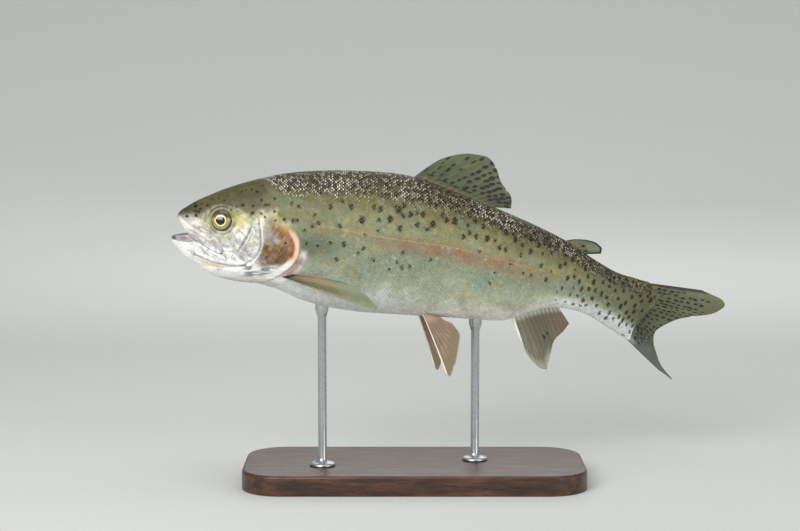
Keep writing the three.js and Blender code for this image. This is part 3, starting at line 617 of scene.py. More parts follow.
# Marks were read off enlarged windows of the camera's picture: how far across and down each lies, and its
# size in millimetres.
WINDOW_WIDTH = 1568  # pixels of an enlarged window
WINDOWS = {"head": (165, 165, 145), "shoulder": (280, 165, 180), "rear": (440, 150, 180)}  # left, top and width
FRECKLES_SEEN = [
    (240, 555, 1.1), (335, 447, 1.4), (385, 478, 1.1), (250, 470, 1.1), (275, 425, 0.8), (322, 407, 0.8),
    (397, 425, 0.9), (427, 385, 0.8), (440, 350, 0.6), (457, 437, 1), (335, 545, 1.1), (508, 370, 0.9),
    (583, 365, 0.8), (597, 325, 0.8), (645, 390, 0.8), (680, 340, 0.8), (538, 297, 0.7), (825, 285, 0.7),
    (875, 270, 0.8), (935, 265, 1), (1000, 293, 1.1), (885, 200, 0.9), (915, 222, 0.8), (950, 183, 0.7),
    (773, 450, 0.8), (845, 437, 1.4), (957, 443, 1.1), (945, 520, 1.2), (1045, 380, 1.1), (1090, 435, 1),
    (1123, 430, 0.9), (1185, 505, 0.8), (1185, 365, 0.8), (1040, 525, 0.8), (1080, 565, 0.8), (1195, 600, 0.7),
    (1305, 845, 0.7), (1285, 590, 0.9), (715, 488, 0.6), (165, 520, 0.7), (1060, 225, 0.8),
]
SPOTS_SEEN = {
    "shoulder": [
        (445, 360, 1.3), (540, 310, 1.2), (620, 360, 1.5), (715, 480, 2.2), (825, 360, 1.4), (875, 380, 1.8),
        (865, 480, 1.3), (960, 470, 2.2), (1030, 390, 2), (1015, 350, 1), (1075, 440, 1.5), (1140, 430, 1.7),
        (1190, 410, 1.4), (1250, 430, 1.8), (1085, 350, 1.3), (1040, 550, 1.9), (1190, 520, 1.4), (1280, 560, 1.4),
        (1330, 510, 2.2), (1415, 430, 1.6), (1445, 480, 1.6), (1525, 486, 2.2), (1360, 350, 1.4), (520, 530, 1.3),
        (340, 510, 1.3), (275, 530, 1.3), (300, 435, 1), (165, 360, 1.2), (110, 480, 1.3), (150, 485, 1.1),
        (740, 610, 0.9), (215, 570, 0.9), (170, 625, 1.2), (220, 680, 1.3), (330, 710, 1.1), (440, 680, 1.2),
        (550, 695, 1.6), (730, 735, 1.1), (675, 770, 0.9), (495, 825, 1.2), (825, 830, 1.1), (1020, 850, 1),
        (1055, 900, 1.3), (1130, 885, 1.2), (950, 915, 0.9), (1065, 770, 1.1), (1305, 830, 1), (95, 330, 1.1),
        (850, 575, 0.9),
    ],
    "rear": [
        (180, 530, 1.5), (245, 655, 1.4), (305, 605, 1.7), (380, 660, 1.7), (210, 750, 1.4), (265, 720, 1.4),
        (320, 750, 1.7), (415, 770, 1.9), (480, 790, 1.5), (525, 850, 1.6), (580, 870, 1.5), (490, 620, 1.5),
        (570, 710, 1.8), (660, 780, 2), (720, 825, 1.2), (800, 770, 1.8), (755, 740, 1.2), (790, 880, 1.8),
        (870, 830, 1.7), (900, 900, 1.1), (965, 830, 1.8), (975, 900, 1.3), (700, 915, 1.1), (880, 1005, 1.3),
        (965, 1055, 0.9), (1050, 1010, 1.5), (1100, 990, 1.3), (1080, 870, 1.5), (1160, 950, 1.8), (1270, 1030, 1.6),
        (1115, 1120, 1.7), (1175, 1105, 1.4), (1215, 1145, 1.4), (925, 1130, 1.5), (720, 1070, 1), (790, 1090, 1.1),
        (615, 1000, 0.7), (485, 1075, 1), (340, 880, 1), (430, 1165, 1), (1060, 1205, 1.1), (1165, 1200, 1.1),
        (1240, 1215, 1.5), (1015, 1240, 0.7), (1200, 1272, 1), (1290, 1100, 1.3), (1350, 1220, 1.4),
        (1410, 1255, 1.5), (1465, 1345, 1.4), (1480, 1130, 1.4), (1530, 1220, 1.3), (640, 730, 1.2),
        (1420, 1150, 1.2),
    ],
}
HIT = 0.6  # how near to a mark's middle, in pixels, the skin is looked for
MISS_COST = 0.0005  # metres of depth that a pixel of miss is worth
seen_q, seen_a = (v.ravel() for v in np.meshgrid(
    np.arange(THROAT, TAIL_END, 0.25), np.linspace(-np.pi / 2, np.pi / 2 + 0.25, 700), indexing="ij"))
seen_q, seen_a = seen_q[seen_q > LIPS], seen_a[seen_q > LIPS]
seen = skin_at(seen_q, seen_a)
sight = place(seen) - camera_place
seen_depth = sight @ look
zoom = LENS / SENSOR * PICTURE[0] / seen_depth
seen_across = PICTURE[0] / 2 + zoom * sight[:, 0]
seen_down = PICTURE[1] / 2 - zoom * (sight @ np.cross((1, 0, 0), look))


def mark(window, across, down):
    """The mark's place on the skin: x and z, and its station and height above the lateral line."""
    left, top, width = WINDOWS[window]
    scale = WINDOW_WIDTH / width
    miss = np.hypot(seen_across - (left + across / scale), seen_down - (top + down / scale))
    near = np.flatnonzero(miss < max(HIT, miss.min() + 0.05))
    i = near[np.argmin(seen_depth[near] + MISS_COST * miss[near])]
    height = height_of(seen_q[i : i + 1], seen_a[i : i + 1])[0]
    return [round(float(v), digits) for v, digits in ((seen[i, 0], 1), (seen[i, 2], 1), (seen_q[i], 0), (height, 1))]


FRECKLES = [(*mark("head", across, down)[:2], radius) for across, down, radius in FRECKLES_SEEN]
SPOT_SEED = 1207
FLANK_SPOTS = sorted((*mark(window, across, down)[2:], size)
                     for window, seen_there in SPOTS_SEEN.items() for across, down, size in seen_there)


def scatter_spots(side):
    """Black spots on one flank as station, height, half length and half height: its clusters, and many small
    ones strewn over the back and the tail stalk."""
    rng = np.random.default_rng(SPOT_SEED + side)
    spots = []
    for q, height, size in FLANK_SPOTS:
        if side == RIGHT:  # the two flanks are alike but never the same
            q, height, size = q + rng.normal(0, 3.5), height + rng.normal(0, 2.2), size * rng.uniform(0.8, 1.15)
        spots.append((q, height, size * 0.74, size * 1.25))
    for _ in range(9000):
        q, height = rng.uniform(64, 352), rng.uniform(-40, 62)
        share = float(height_share(q, height))
        rear = float(smooth((q - 262) / 40))
        if share > 0.5:
            room, size = mix(4.6, 4.0, rear), rng.uniform(0.75, 1.3)
        elif rear > 0.2 and share > -0.74:
            room, size = 5.3, rng.uniform(1.15, 1.75) * rear
        else:
            continue
        if share < 1.02 and all(math.hypot(q - a, height - b) > room * rng.uniform(0.75, 1.1) for a, b, *_ in spots):
            spots.append((q, height, size * 0.8, size * rng.uniform(1.0, 1.4)))
    return np.array(spots)


SPOTS = {LEFT: scatter_spots(LEFT), RIGHT: scatter_spots(RIGHT)}


def spotted(q, height, side):
    """1 in the middle of a black spot of that flank, 0 outside it."""
    shape = np.shape(q)
    order = np.argsort(q, axis=None)
    q, height = np.ravel(q)[order], np.ravel(height)[order]
    fray = 0.22 * cloud(q * 1.5, height, 1.1, 33)
    dark = np.zeros(q.shape)
    for a, b, length, tall in SPOTS[side]:
        near = slice(*np.searchsorted(q, (a - 2 * length, a + 2 * length)))
        d = np.hypot((q[near] - a) / length, (height[near] - b) / tall) + fray[near]
        dark[near] = np.maximum(dark[near], smooth((1.25 - d) / 0.45))
    out = np.empty_like(dark)
    out[order] = dark
    return out.reshape(shape)


def freckled(x, y, z):
    dark = np.zeros(np.shape(x))
    x, z = x + 1.6 * (y > 0), z - 0.9 * (y > 0)  # the right side's freckles lie a little otherwise
    for a, b, radius in FRECKLES:
        close = (np.abs(x - a) < 3.5) & (np.abs(z - b) < 3.5)
        if not close.any():
            continue
        flat, out = np.hypot(x[close] - a, (z[close] - b) * 1.15), np.abs(y[close])
        middle = out[flat < flat.min() + 0.3].mean()  # freckles stay round where the skin turns inwards
        d = np.hypot(flat, 0.9 * (out - middle)) + 0.16 * cloud(x[close], z[close], 0.8, 31)
        dark[close] = np.maximum(dark[close], smooth((radius + 0.45 - d) / 0.6))
    return dark


# ---------------------------------------------------------------- making pieces

KINDS = {1: "FLOAT", 3: "FLOAT_VECTOR", 4: "FLOAT_COLOR"}
FIELDS = {1: "value", 3: "vector", 4: "color"}


def give(mesh, name, values):
    """Lays numbers, vectors or colours on the points of a mesh, for its material to read."""
    values = np.asarray(values, np.float32)
    width = 1 if values.ndim == 1 else values.shape[1]
    mesh.attributes.new(name, KINDS[width], "POINT").data.foreach_set(FIELDS[width], values.ravel())


def deselect():
    bpy.ops.object.select_all(action="DESELECT")


def started(name):
    """The object that an operator has just made, named."""
    piece = bpy.context.object
    piece.name = piece.data.name = name
    return piece


def link(thing):
    bpy.context.scene.collection.objects.link(thing)


def face_outwards():
    """Turns every face outwards, and leaves edit mode."""
    bpy.ops.mesh.select_all(action="SELECT")
    bpy.ops.mesh.normals_make_consistent(inside=False)
    bpy.ops.object.mode_set(mode="OBJECT")


def sheet_piece(name, places, fields):
    """A grid laid over rows of places. Where its edges meet they are joined, so it closes."""
    rows, columns = places.shape[:2]
    deselect()
    bpy.ops.mesh.primitive_grid_add(x_subdivisions=columns - 1, y_subdivisions=rows - 1, size=1)
    piece = started(name)
    flat = np.empty(len(piece.data.vertices) * 3, np.float32)
    piece.data.vertices.foreach_get("co", flat)
    flat = flat.reshape(-1, 3)
    i = np.rint((flat[:, 0] + 0.5) * (columns - 1)).astype(int)
    j = np.rint((flat[:, 1] + 0.5) * (rows - 1)).astype(int)
    piece.data.vertices.foreach_set("co", places[j, i].astype(np.float32).ravel())
    for key, values in fields.items():
        give(piece.data, key, values[j, i])
    bpy.ops.object.mode_set(mode="EDIT")
    bpy.ops.mesh.select_all(action="SELECT")
    bpy.ops.mesh.remove_doubles(threshold=2e-6)
    face_outwards()
    bpy.ops.object.shade_smooth()
    return piece


def finish_piece(piece, material, slot, *nodes):
    piece.data.materials.clear()
    piece.data.materials.append(material)
    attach(piece, "root")
    if nodes:
        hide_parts(*nodes)


# ---------------------------------------------------------------- materials

TUBE_PITCH = 2.2  # mm from tube to tube along the lateral line
JOINT_PITCH = 1.1  # mm from joint to joint along a ray
# The kinds of node: Blender's name, the settings, the inputs that are fed in turn, and the output given.
NODES = {
    "attribute": ("ShaderNodeAttribute", {}, (), 0),
    "where": ("ShaderNodeTexCoord", {}, (), 3),
    "stretch": ("ShaderNodeMapping", {}, ("Vector", "Scale"), 0),
    "noise": ("ShaderNodeTexNoise", {}, ("Vector", "Scale", "Detail", "Distortion", "Roughness"), 0),
    "ramp": ("ShaderNodeValToRGB", {}, (0,), 0),
    "mix": ("ShaderNodeMix", {"data_type": "RGBA"}, (0, 6, 7), 2),
    "step": ("ShaderNodeMapRange", {}, range(5), 0),
    "soft step": ("ShaderNodeMapRange", {"interpolation_type": "SMOOTHSTEP"}, range(5), 0),
    "bump": ("ShaderNodeBump", {}, ("Strength", "Distance", "Height"), 0),
    "split": ("ShaderNodeSeparateXYZ", {}, (0,), 0),
    "join": ("ShaderNodeCombineXYZ", {}, (0, 1), 0),
    "length": ("ShaderNodeVectorMath", {"operation": "LENGTH"}, (0,), 1),
    "shift": ("ShaderNodeVectorMath", {"operation": "ADD"}, (0, 1), 0),
    "scale": ("ShaderNodeVectorMath", {"operation": "SCALE"}, (0, 3), 0),
    "plus": ("ShaderNodeMath", {"operation": "ADD"}, (0, 1), 0),
    "minus": ("ShaderNodeMath", {"operation": "SUBTRACT"}, (0, 1), 0),
    "times": ("ShaderNodeMath", {"operation": "MULTIPLY"}, (0, 1), 0),
    "times plus": ("ShaderNodeMath", {"operation": "MULTIPLY_ADD"}, (0, 1, 2), 0),
    "fraction": ("ShaderNodeMath", {"operation": "FRACT"}, (0,), 0),
    "absolute": ("ShaderNodeMath", {"operation": "ABSOLUTE"}, (0,), 0),
}


def feed(tree, socket, value):
    if isinstance(value, bpy.types.NodeSocket):
        tree.links.new(value, socket)
    else:
        socket.default_value = value


def add(tree, kind, *feeds, out=None, stops=(), **settings):
    """Adds a node of a kind, feeds it with values or other nodes, and gives one of its outputs."""
    blender_name, usual, inputs, usual_out = NODES[kind]
    n = tree.nodes.new(blender_name)
    for key, value in {**usual, **settings}.items():
        setattr(n, key, value)
    for key, value in zip(inputs, feeds):
        feed(tree, n.inputs[key], value)
    if stops:
        ramp = n.color_ramp.elements
        while len(ramp) < len(stops):
            ramp.new(0.5)
        for element, (position, colour) in zip(ramp, stops):
            element.position, element.color = position, linear(colour)
    return n.outputs[usual_out if out is None else out]


def material(name):
    m = bpy.data.materials.new(name)
    m.use_nodes = True
    m.node_tree.nodes.clear()
    return m, functools.partial(add, m.node_tree)


def surface(m, **sockets):
    """Ends a material in one Principled shader."""
    tree = m.node_tree
    shader = tree.nodes.new("ShaderNodeBsdfPrincipled")
    for key, value in sockets.items():
        feed(tree, shader.inputs[key.replace("_", " ")], value)
    end = tree.nodes.new("ShaderNodeOutputMaterial")
    tree.links.new(shader.outputs[0], end.inputs["Surface"])
    return m


def fields(node, **outs):
    """Numbers laid on the points: each field's name, and whether its colour, vector or plain number is read."""
    return [node("attribute", attribute_name=name, out=("colour", "vector", "number").index(read))
            for name, read in outs.items()]


def wet_trout_skin(name, scaled):
    """The skin of a live trout: pigment under thin silvery crystal and wet slime. The crystal makes the pale
    parts shine like worn foil, and each scale of the back has a dark middle; many carry a painted glint."""
    m, node = material(name)
    paint, spot, foil, straight, lie = fields(
        node, paint="colour", spot="number", foil="number", straight="vector", lie="vector")
    station, height, share = node("split", lie).node.outputs
    # Mottling of a few millimetres, and finer grain of under one.
    mottle = node("noise", straight, 0.22, 4.0)
    grain = node("noise", straight, 1.4, 3.0)
    lightness = node("times plus", grain, 0.5, node("times plus", mottle, 0.5, 0.75))
    colour = node("scale", paint, node("minus", lightness, 0.25))
    shine = node("times", foil, grain)
    if scaled:
        along, chance, across = node("split", *fields(node, scale="vector")).node.outputs
        second = node("fraction", node("times", chance, 7.31))
        edge = node("soft step", along, 0.7, 0.9)
        middle = node("soft step", node("times", across, across), 0.45, 0.06)
        core = node("times", node("minus", 1.0, edge), middle)
        # Every scale differs a little in tone, and is a little paler at its rear edge.
        tone = node("times plus", edge, 0.1, node("times plus", chance, 0.2, 0.88))
        colour = node("scale", colour, tone)
        back = node("plus", share, node("times plus", mottle, 0.5, -0.25))
        back = node("soft step", back, 0.36, 0.56)
        bright = node("soft step", second, 0.34, 0.86)
        dark = node("times", node("times", back, node("step", chance, 0.1, 0.5, 0.4)), core)
        dark = node("times", dark, node("times plus", bright, -0.3, 1.0))
        colour = node("mix", dark, colour, linear("#17140b"))
        # Painted glints: the rear halves of many scales on the back, and on the silvery breast, are painted near
        # white, most of all in a zone low on the back.
        glint = node("times", bright, node("soft step", along, 0.6, 0.8))
        glint = node("times plus", edge, 0.22, glint, use_clamp=True)
        stalk = node("step", station, 262.0, 318.0, 1.0, 0.4)
        lit = node("plus", back, node("step", foil, 0.66, 0.9), use_clamp=True)
        zones = node("step", node("noise", straight, 0.03, 1.0), 0.38, 0.54, 0.45)
        low = node("step", share, 0.98, 0.74, 0.36)
        for limit in (stalk, lit, zones, low):
            glint = node("times", glint, limit)
        colour = node("mix", glint, colour, linear("#f4f1dc"))
        # Here and there a scale of the flank gets a painted flash of light.
        flash = node("times", node("times", node("step", second, 0.96, 0.99), foil), 0.4)
        colour = node("mix", flash, colour, linear("#dfe2d4"))
        spot = node("times", spot, node("times plus", core, 0.55, 0.45))
    # The lateral line is a row of small pale tubes.
    pale = node("step", node("absolute", height), 0.6, 0.25)
    beads = node("fraction", node("times", station, 1 / TUBE_PITCH))
    for part in (node("step", beads, 0.8, 0.6, 0.3), node("step", station, 84.0, 120.0),
                 node("step", station, 310.0, 235.0)):
        pale = node("times", pale, part)
    pale = node("times", pale, node("times", mottle, 1.2), use_clamp=True)
    colour = node("mix", pale, colour, linear("#c69c78"))
    # Black pigment, a little brown where it is thin.
    colour = node("mix", spot, colour, linear("#120e07"))
    metallic = node("times", node("times", shine, node("minus", 1.0, spot)), 0.8)
    roughness = node("times plus", foil, -0.24, node("step", grain, 0.3, 0.7, 0.52, 0.7))
    # Crinkles in the foil about 1.2 mm apart, and slime that evens them out.
    crinkle = node("noise", straight, 0.8, 4.0, 1.2)
    normal = node("bump", node("times plus", foil, 0.28, 0.12), 0.0006, crinkle)
    return surface(m, Base_Color=colour, Metallic=metallic, Roughness=roughness, Normal=normal,
                   Coat_Weight=0.08, Coat_Roughness=0.16, IOR=1.28)


def rayed_fin(name, ray_tone):
    """A fin's skin over soft bony rays. It is thin and slightly clear, so the rays show paler or darker, with
    fine cross joints, and black spots sit on the skin between them."""
    m, node = material(name)
    paint, spot, ridge, rays, straight = fields(
        node, paint="colour", spot="number", ridge="number", ray="vector", straight="vector")
    along = node("split", rays, out=1)
    mottle = node("noise", straight, 0.18, 5.0)
    grain = node("noise", straight, 1.6, 3.0)
    joints = node("fraction", node("times", along, 1 / JOINT_PITCH))
    joints = node("times", node("step", joints, 0.8, 0.94), ridge)
    tone = node("times plus", ridge, ray_tone, node("times plus", mottle, 0.6, 0.7))
    tone = node("times plus", joints, -0.2, tone)
    colour = node("mix", spot, node("scale", paint, tone), linear("#0d0d08"))
    return surface(m, Base_Color=colour, Roughness=0.55, Normal=node("bump", 0.2, 0.0003, grain),
                   Coat_Weight=0.06, Coat_Roughness=0.15, Subsurface_Weight=0.06, Subsurface_Scale=0.002)


def trout_eye():
    """A fish's eye: a black pupil in a thin gold ring, a brassy iris with dark mottling over it, all under a
    clear wet cornea that is far smoother than the skin."""
    m, node = material("wet_cornea_over_brassy_iris")
    eye, = fields(node, eye="vector")
    forward, up, _ = node("split", eye).node.outputs
    # The pupil has a small point towards the snout.
    point = node("step", forward, -1.2, -4.2, 0.0, 0.55)
    point = node("times", point, node("step", node("times", up, up), 3.0, 0.0))
    radius = node("minus", node("length", node("join", forward, up)), point)
    iris = node("ramp", node("times", radius, 1 / 8), stops=[
        (0.365, "#05070a"), (0.40, "#f5eebb"), (0.47, "#d9cf85"), (0.53, "#8f8549"), (0.64, "#b3ab73"),
        (0.75, "#7b7443"), (0.84, "#2e2917"),
    ])
    streaks = node("noise", eye, 0.9, 5.0, 0.8)
    high = node("step", up, 1.0, 5.0)
    shade = node("times plus", node("step", streaks, 0.42, 0.56), 0.75, high)
    shade = node("times", shade, node("times plus", high, 0.5, 0.5), use_clamp=True)
    shade = node("times", shade, node("step", radius, 3.8, 4.5), use_clamp=True)
    return surface(m, Base_Color=node("mix", shade, iris, linear("#372f1a")), Roughness=0.3, Coat_Weight=1.0,
                   Coat_Roughness=0.02, IOR=1.38)


# ---------------------------------------------------------------- the skin

SKIN_DEPTH = 0.55  # how far the skin lies inside the solids, which is the coat's thickness
HEAD_DEPTH = 0.12
AROUND = 300


def foil_share(x, z, share):
    """How much silver crystal lies over the pigment: most on the cheek and the flank, least on the back."""
    body = 0.12 + 0.5 * smooth((0.3 - share) / 0.5)
    body = body + 0.33 * smooth((-0.56 - share) / 0.2) * smooth((x - 72) / 14) * smooth((190 - x) / 50)
    head = 0.05 + 0.8 * smooth((7 - z) / 8) * smooth((x - 6) / 6)
    return np.where(x < 88, mix(head, body, smooth((x - 78) / 8)), body)


angles = np.linspace(-np.pi / 2, 1.5 * np.pi, AROUND + 1)[None, :]
rows = np.concatenate([
    np.linspace(THROAT, LIPS - 2, 22), np.arange(LIPS - 1.7, FIRST_UPRIGHT, 0.36),
    np.arange(FIRST_UPRIGHT + 0.3, 90, 0.54), np.arange(90.5, TAIL_FROM, 4), np.linspace(TAIL_FROM, TAIL_END, 18),
])[:, None]
plain = skin_at(rows, angles)
scales_start = smooth((off_line(plain[..., 0], plain[..., 2], LINE_OF_SCALES) + 1.5) / 3.5)
skin = skin_at(rows, angles, -mix(HEAD_DEPTH, SKIN_DEPTH, scales_start))
for _ in range(4):  # rounds the change from the leaning sections to the upright ones
    softer = skin.copy()
    softer[1:-1] = 0.25 * skin[:-2] + 0.5 * skin[1:-1] + 0.25 * skin[2:]
    weight = smooth((26 - rows[:, 0]) / 8)[:, None, None]
    skin = mix(skin, softer, weight)
by_row, by_column = np.gradient(skin, axis=0), np.gradient(skin, axis=1)
by_column[:, 0] = by_column[:, -1] = skin[:, 1] - skin[:, -2]
out = np.cross(by_row, by_column)
out /= np.maximum(np.linalg.norm(out, axis=-1, keepdims=True), 1e-9)
q_all = np.broadcast_to(rows, skin.shape[:2])
a_all = np.broadcast_to(angles, skin.shape[:2])
x_, y_, z_ = np.moveaxis(skin, -1, 0)
on_head = (x_ < 96) & (q_all > LIPS + 0.4)
relief = np.zeros(x_.shape)
relief[on_head] = head_relief(x_[on_head], z_[on_head])
relief *= smooth((q_all - LIPS - 0.4) / 1.5) * smooth(np.abs(out[..., 1]) / 0.35)
straight = skin + out * relief[..., None]
straight[-1, :, 1] = 0  # the flesh closes to an edge over the tail fin
straight[0] = straight[0].mean(axis=0)  # and the throat to a point
heights = height_of(q_all, a_all)
shares = height_share(q_all, heights)
flank = np.where(a_all > np.pi / 2, RIGHT, LEFT)
spot = np.zeros(x_.shape)
for side in (LEFT, RIGHT):
    there = (flank == side) & (off_line(x_, z_, LINE_OF_SCALES) > 0)
    spot[there] = spotted(q_all[there], heights[there], side)
spot[on_head] = np.maximum(spot[on_head], freckled(x_[on_head], y_[on_head], z_[on_head]))
colours = fish_colour(x_.ravel(), z_.ravel(), q_all.ravel(), heights.ravel(), shares.ravel())
colours = np.concatenate([colours, np.ones((len(colours), 1))], axis=1).reshape(*x_.shape, 4)
skin_piece = sheet_piece("skin", place(straight), {
    "paint": colours, "spot": spot, "foil": foil_share(x_, z_, shares), "straight": straight,
    "lie": np.stack([x_, heights, shares], -1),
})
bare_skin = wet_trout_skin("wet_bare_trout_skin", scaled=False)
finish_piece(skin_piece, bare_skin, "silver_skin", "head", "lower_jaw", "maxilla_left", "maxilla_right",
             "gill_cover_left", "gill_cover_right", "trunk", "tail_stalk")

# ---------------------------------------------------------------- the scales

SCALE_SEED = 88
scale_pitch = through([[50, 1.9], [90, 2.3], [150, 2.45], [220, 2.25], [290, 1.85], [355, 1.45]])
COAT_START, COAT_PARTING, COAT_END = 48, 172, TAIL_END - 0.6
PIECES_OF_COAT = {"front": (COAT_START, COAT_PARTING), "rear": (COAT_PARTING, COAT_END)}  # of each flank
HALF_LENGTH, HALF_WIDTH = 0.68, 0.58  # of a scale, as shares of the pitch
ROW_SPREAD = 1.08  # from row to row, as a share of the pitch
WANDER, SIZE_SPREAD, TURN_SPREAD, LIFT_SPREAD = 0.05, 0.04, 0.06, 0.025  # how much the scales differ
UNROLLED = (310, 130)  # length and height of the flank, which the bake's chart holds
PATCH = 0.0015  # half the size of a scale's patch in that chart


def one_scale():
    """Models one scale: a thin plate with a bevelled rim, its hidden root forward. Gives its points as shares
    of its length, width and thickness, and its faces."""
    deselect()
    bpy.ops.mesh.primitive_cone_add(vertices=9, radius1=1, radius2=0.74, depth=1, end_fill_type="NGON",
                                    rotation=(0, 0, math.radians(-90)))
    bpy.ops.object.transform_apply(location=False, rotation=True, scale=False)
    model = bpy.context.object
    points = np.array([v.co for v in model.data.vertices])
    faces = [list(f.vertices) for f in model.data.polygons]
    bpy.data.objects.remove(model)
    return points, faces


scale_points, scale_faces = one_scale()


def coat_piece(side, name, start, end):
    rng = np.random.default_rng(SCALE_SEED + side + int(start))
    stations = np.arange(40, 356, 0.25)
    counts = np.concatenate([[0], np.cumsum(0.25 / scale_pitch(stations[:-1]))])
    columns = np.arange(0, counts[-1] * 2) / 2
    q = np.interp(columns, counts, stations)
    roots = []
    for k, station in enumerate(q):
        if not start <= station < end:
            continue
        pitch = float(scale_pitch(station)) * ROW_SPREAD
        low = -np.interp(station, CHART_STATIONS, belly_height)
        high = np.interp(station, CHART_STATIONS, back_height)
        rows_here = np.arange(math.ceil(low / pitch - 0.5), high / pitch + 0.2) + 0.5 * (k % 2)
        roots += [(station, r * pitch, pitch) for r in rows_here]
    roots = np.array(roots)
    n = len(roots)
    roots[:, 0] += rng.normal(0, WANDER, n)
    roots[:, 1] += rng.normal(0, WANDER, n)
    root_place = skin_at(roots[:, 0], angle_of(roots[:, 0], roots[:, 1]))
    bare = off_line(root_place[:, 0], root_place[:, 2], LINE_OF_SCALES) < 0.4 + 0.3 * rng.random(n)
    roots = roots[~bare | (root_place[:, 0] > 100)]
    n = len(roots)
    chance = rng.random(n)
    size = rng.normal(1, SIZE_SPREAD, n)[:, None]
    turn = rng.normal(0, TURN_SPREAD, n)[:, None]
    lift = rng.normal(0, LIFT_SPREAD, n)[:, None]
    behind = off_line(*skin_at(roots[:, 0], angle_of(roots[:, 0], roots[:, 1]))[:, ::2].T, LINE_OF_SCALES)
    settled = smooth(np.where(roots[:, 0] > 110, 9, behind) / 8)[:, None]
    px, py, pz = scale_points.T
    pitch = roots[:, 2:3]
    along = HALF_LENGTH * px * size * pitch
    across = HALF_WIDTH * py * size * pitch
    along, across = along * np.cos(turn) - across * np.sin(turn), along * np.sin(turn) + across * np.cos(turn)
    qs, hs = roots[:, :1] + along, roots[:, 1:2] + across
    # The plate rises from under its neighbours to its rear edge; its underside stays in the skin.
    gentle = mix(1.0, 0.7, smooth((0.3 - height_share(qs, hs)) / 0.4))
    rise = np.where(pz > 0, 0.16 + (0.2 + lift) * px * gentle, -0.18)
    rise = rise * smooth((TAIL_END + 3 - qs) / 12) * (0.45 + 0.55 * settled)
    qs = np.minimum(qs, TAIL_END)
    a = angle_of(qs, hs)
    base = skin_at(qs, a, -SKIN_DEPTH)
    points = base + outwards(qs, a, -SKIN_DEPTH) * rise[..., None]
    if side == RIGHT:
        points[..., 1] *= -1
    m = len(px)
    faces = np.array([f for f in scale_faces if len(f) == 4])
    caps = np.array([f for f in scale_faces if len(f) != 4])
    if side == RIGHT:
        faces, caps = faces[:, ::-1], caps[:, ::-1]
    offsets = (np.arange(n) * m)[:, None, None]
    loops = np.concatenate([(faces[None] + offsets).reshape(-1), (caps[None] + offsets).reshape(-1)])
    sizes = np.concatenate([np.full(n * len(faces), 4), np.full(n * len(caps), caps.shape[1])])
    mesh = bpy.data.meshes.new(name)
    mesh.vertices.add(n * m)
    mesh.vertices.foreach_set("co", place(points).astype(np.float32).ravel())
    mesh.loops.add(len(loops))
    mesh.loops.foreach_set("vertex_index", loops.astype(np.int32))
    mesh.polygons.add(len(sizes))
    mesh.polygons.foreach_set("loop_start", np.concatenate([[0], np.cumsum(sizes)[:-1]]).astype(np.int32))
    mesh.polygons.foreach_set("use_smooth", np.ones(len(sizes), bool))
    mesh.update(calc_edges=True)
    share = height_share(qs, hs)
    x, z = points[..., 0].ravel(), points[..., 2].ravel()
    colours = fish_colour(x, z, qs.ravel(), hs.ravel(), share.ravel())
    give(mesh, "paint", np.concatenate([colours, np.ones((len(colours), 1))], axis=1))
    own_spot = np.repeat(spotted(roots[:, 0] + 0.3, roots[:, 1], side), m)
    give(mesh, "spot", clamp01(1.45 * mix(own_spot, spotted(qs.ravel(), hs.ravel(), side), 0.5)))
    give(mesh, "foil", foil_share(x, z, share.ravel()))
    give(mesh, "straight", points.reshape(-1, 3))
    # Near the head and the tail fin the scales have the plain look of the lower flank.
    seeming = share - 0.5 * (1 - settled) - 0.35 * smooth((qs - 338) / 10)
    give(mesh, "lie", np.stack([x, hs.ravel(), seeming.ravel()], -1))
    own = np.stack(np.broadcast_arrays(0.5 + 0.5 * px[None], chance[:, None], py[None]), -1)
    give(mesh, "scale", own.reshape(-1, 3))
    # Each scale's patch of the bake lies at its root's place on the unrolled flank.
    inner = np.where(pz > 0, 1, 0.8)
    u = (roots[:, :1] - COAT_START) / UNROLLED[0] + PATCH * px * inner
    v = 0.5 + roots[:, 1:2] / UNROLLED[1] + PATCH * py * inner
    uv = np.stack([u, v], -1).reshape(-1, 2)
    mesh.uv_layers.new(name="OFBake").data.foreach_set("uv", uv[loops].astype(np.float32).ravel())
    piece = bpy.data.objects.new(name, mesh)
    link(piece)
    return piece


scaled_skin = wet_trout_skin("wet_scaled_trout_skin", scaled=True)
for side, side_name in ((LEFT, "left"), (RIGHT, "right")):
    for part, (start, end) in PIECES_OF_COAT.items():
        coat = coat_piece(side, f"scales_{side_name}_{part}", start, end)
        finish_piece(coat, scaled_skin, "speckled_skin")

# ---------------------------------------------------------------- the eyes


def eyeball(side, name, node, iris):
    deselect()
    bpy.ops.mesh.primitive_uv_sphere_add(segments=64, ring_count=36, radius=1)
    piece = started(name)
    p = np.array([v.co for v in piece.data.vertices])
    # The sphere's pole looks out of the head.
    local = np.stack([p[:, 0] * EYE["radius"], side * p[:, 2] * EYE["depth"], p[:, 1] * EYE["radius"]], -1)
    turned = local.copy()
    for angle, (i, k) in ((EYE["tilt"], (1, 2)), (EYE["turn"], (0, 1))):
        c, s = math.cos(side * math.radians(angle)), math.sin(side * math.radians(angle))
        turned[:, [i, k]] = np.stack([turned[:, i] * c - turned[:, k] * s, turned[:, i] * s + turned[:, k] * c], -1)
    turned += (EYE["x"], side * (EYE["out"] - EYE["depth"]), EYE["z"])
    piece.data.vertices.foreach_set("co", place(turned).astype(np.float32).ravel())
    give(piece.data, "eye", np.stack([local[:, 0], local[:, 2], p[:, 2]], -1))
    bpy.ops.object.mode_set(mode="EDIT")
    face_outwards()
    bpy.ops.object.shade_smooth()
    finish_piece(piece, iris, "eye", node)


cornea = trout_eye()
eyeball(LEFT, "eyeball_left", "eye_left", cornea)
eyeball(RIGHT, "eyeball_right", "eye_right", cornea)

# ---------------------------------------------------------------- the fins

FIN_SINK = 3


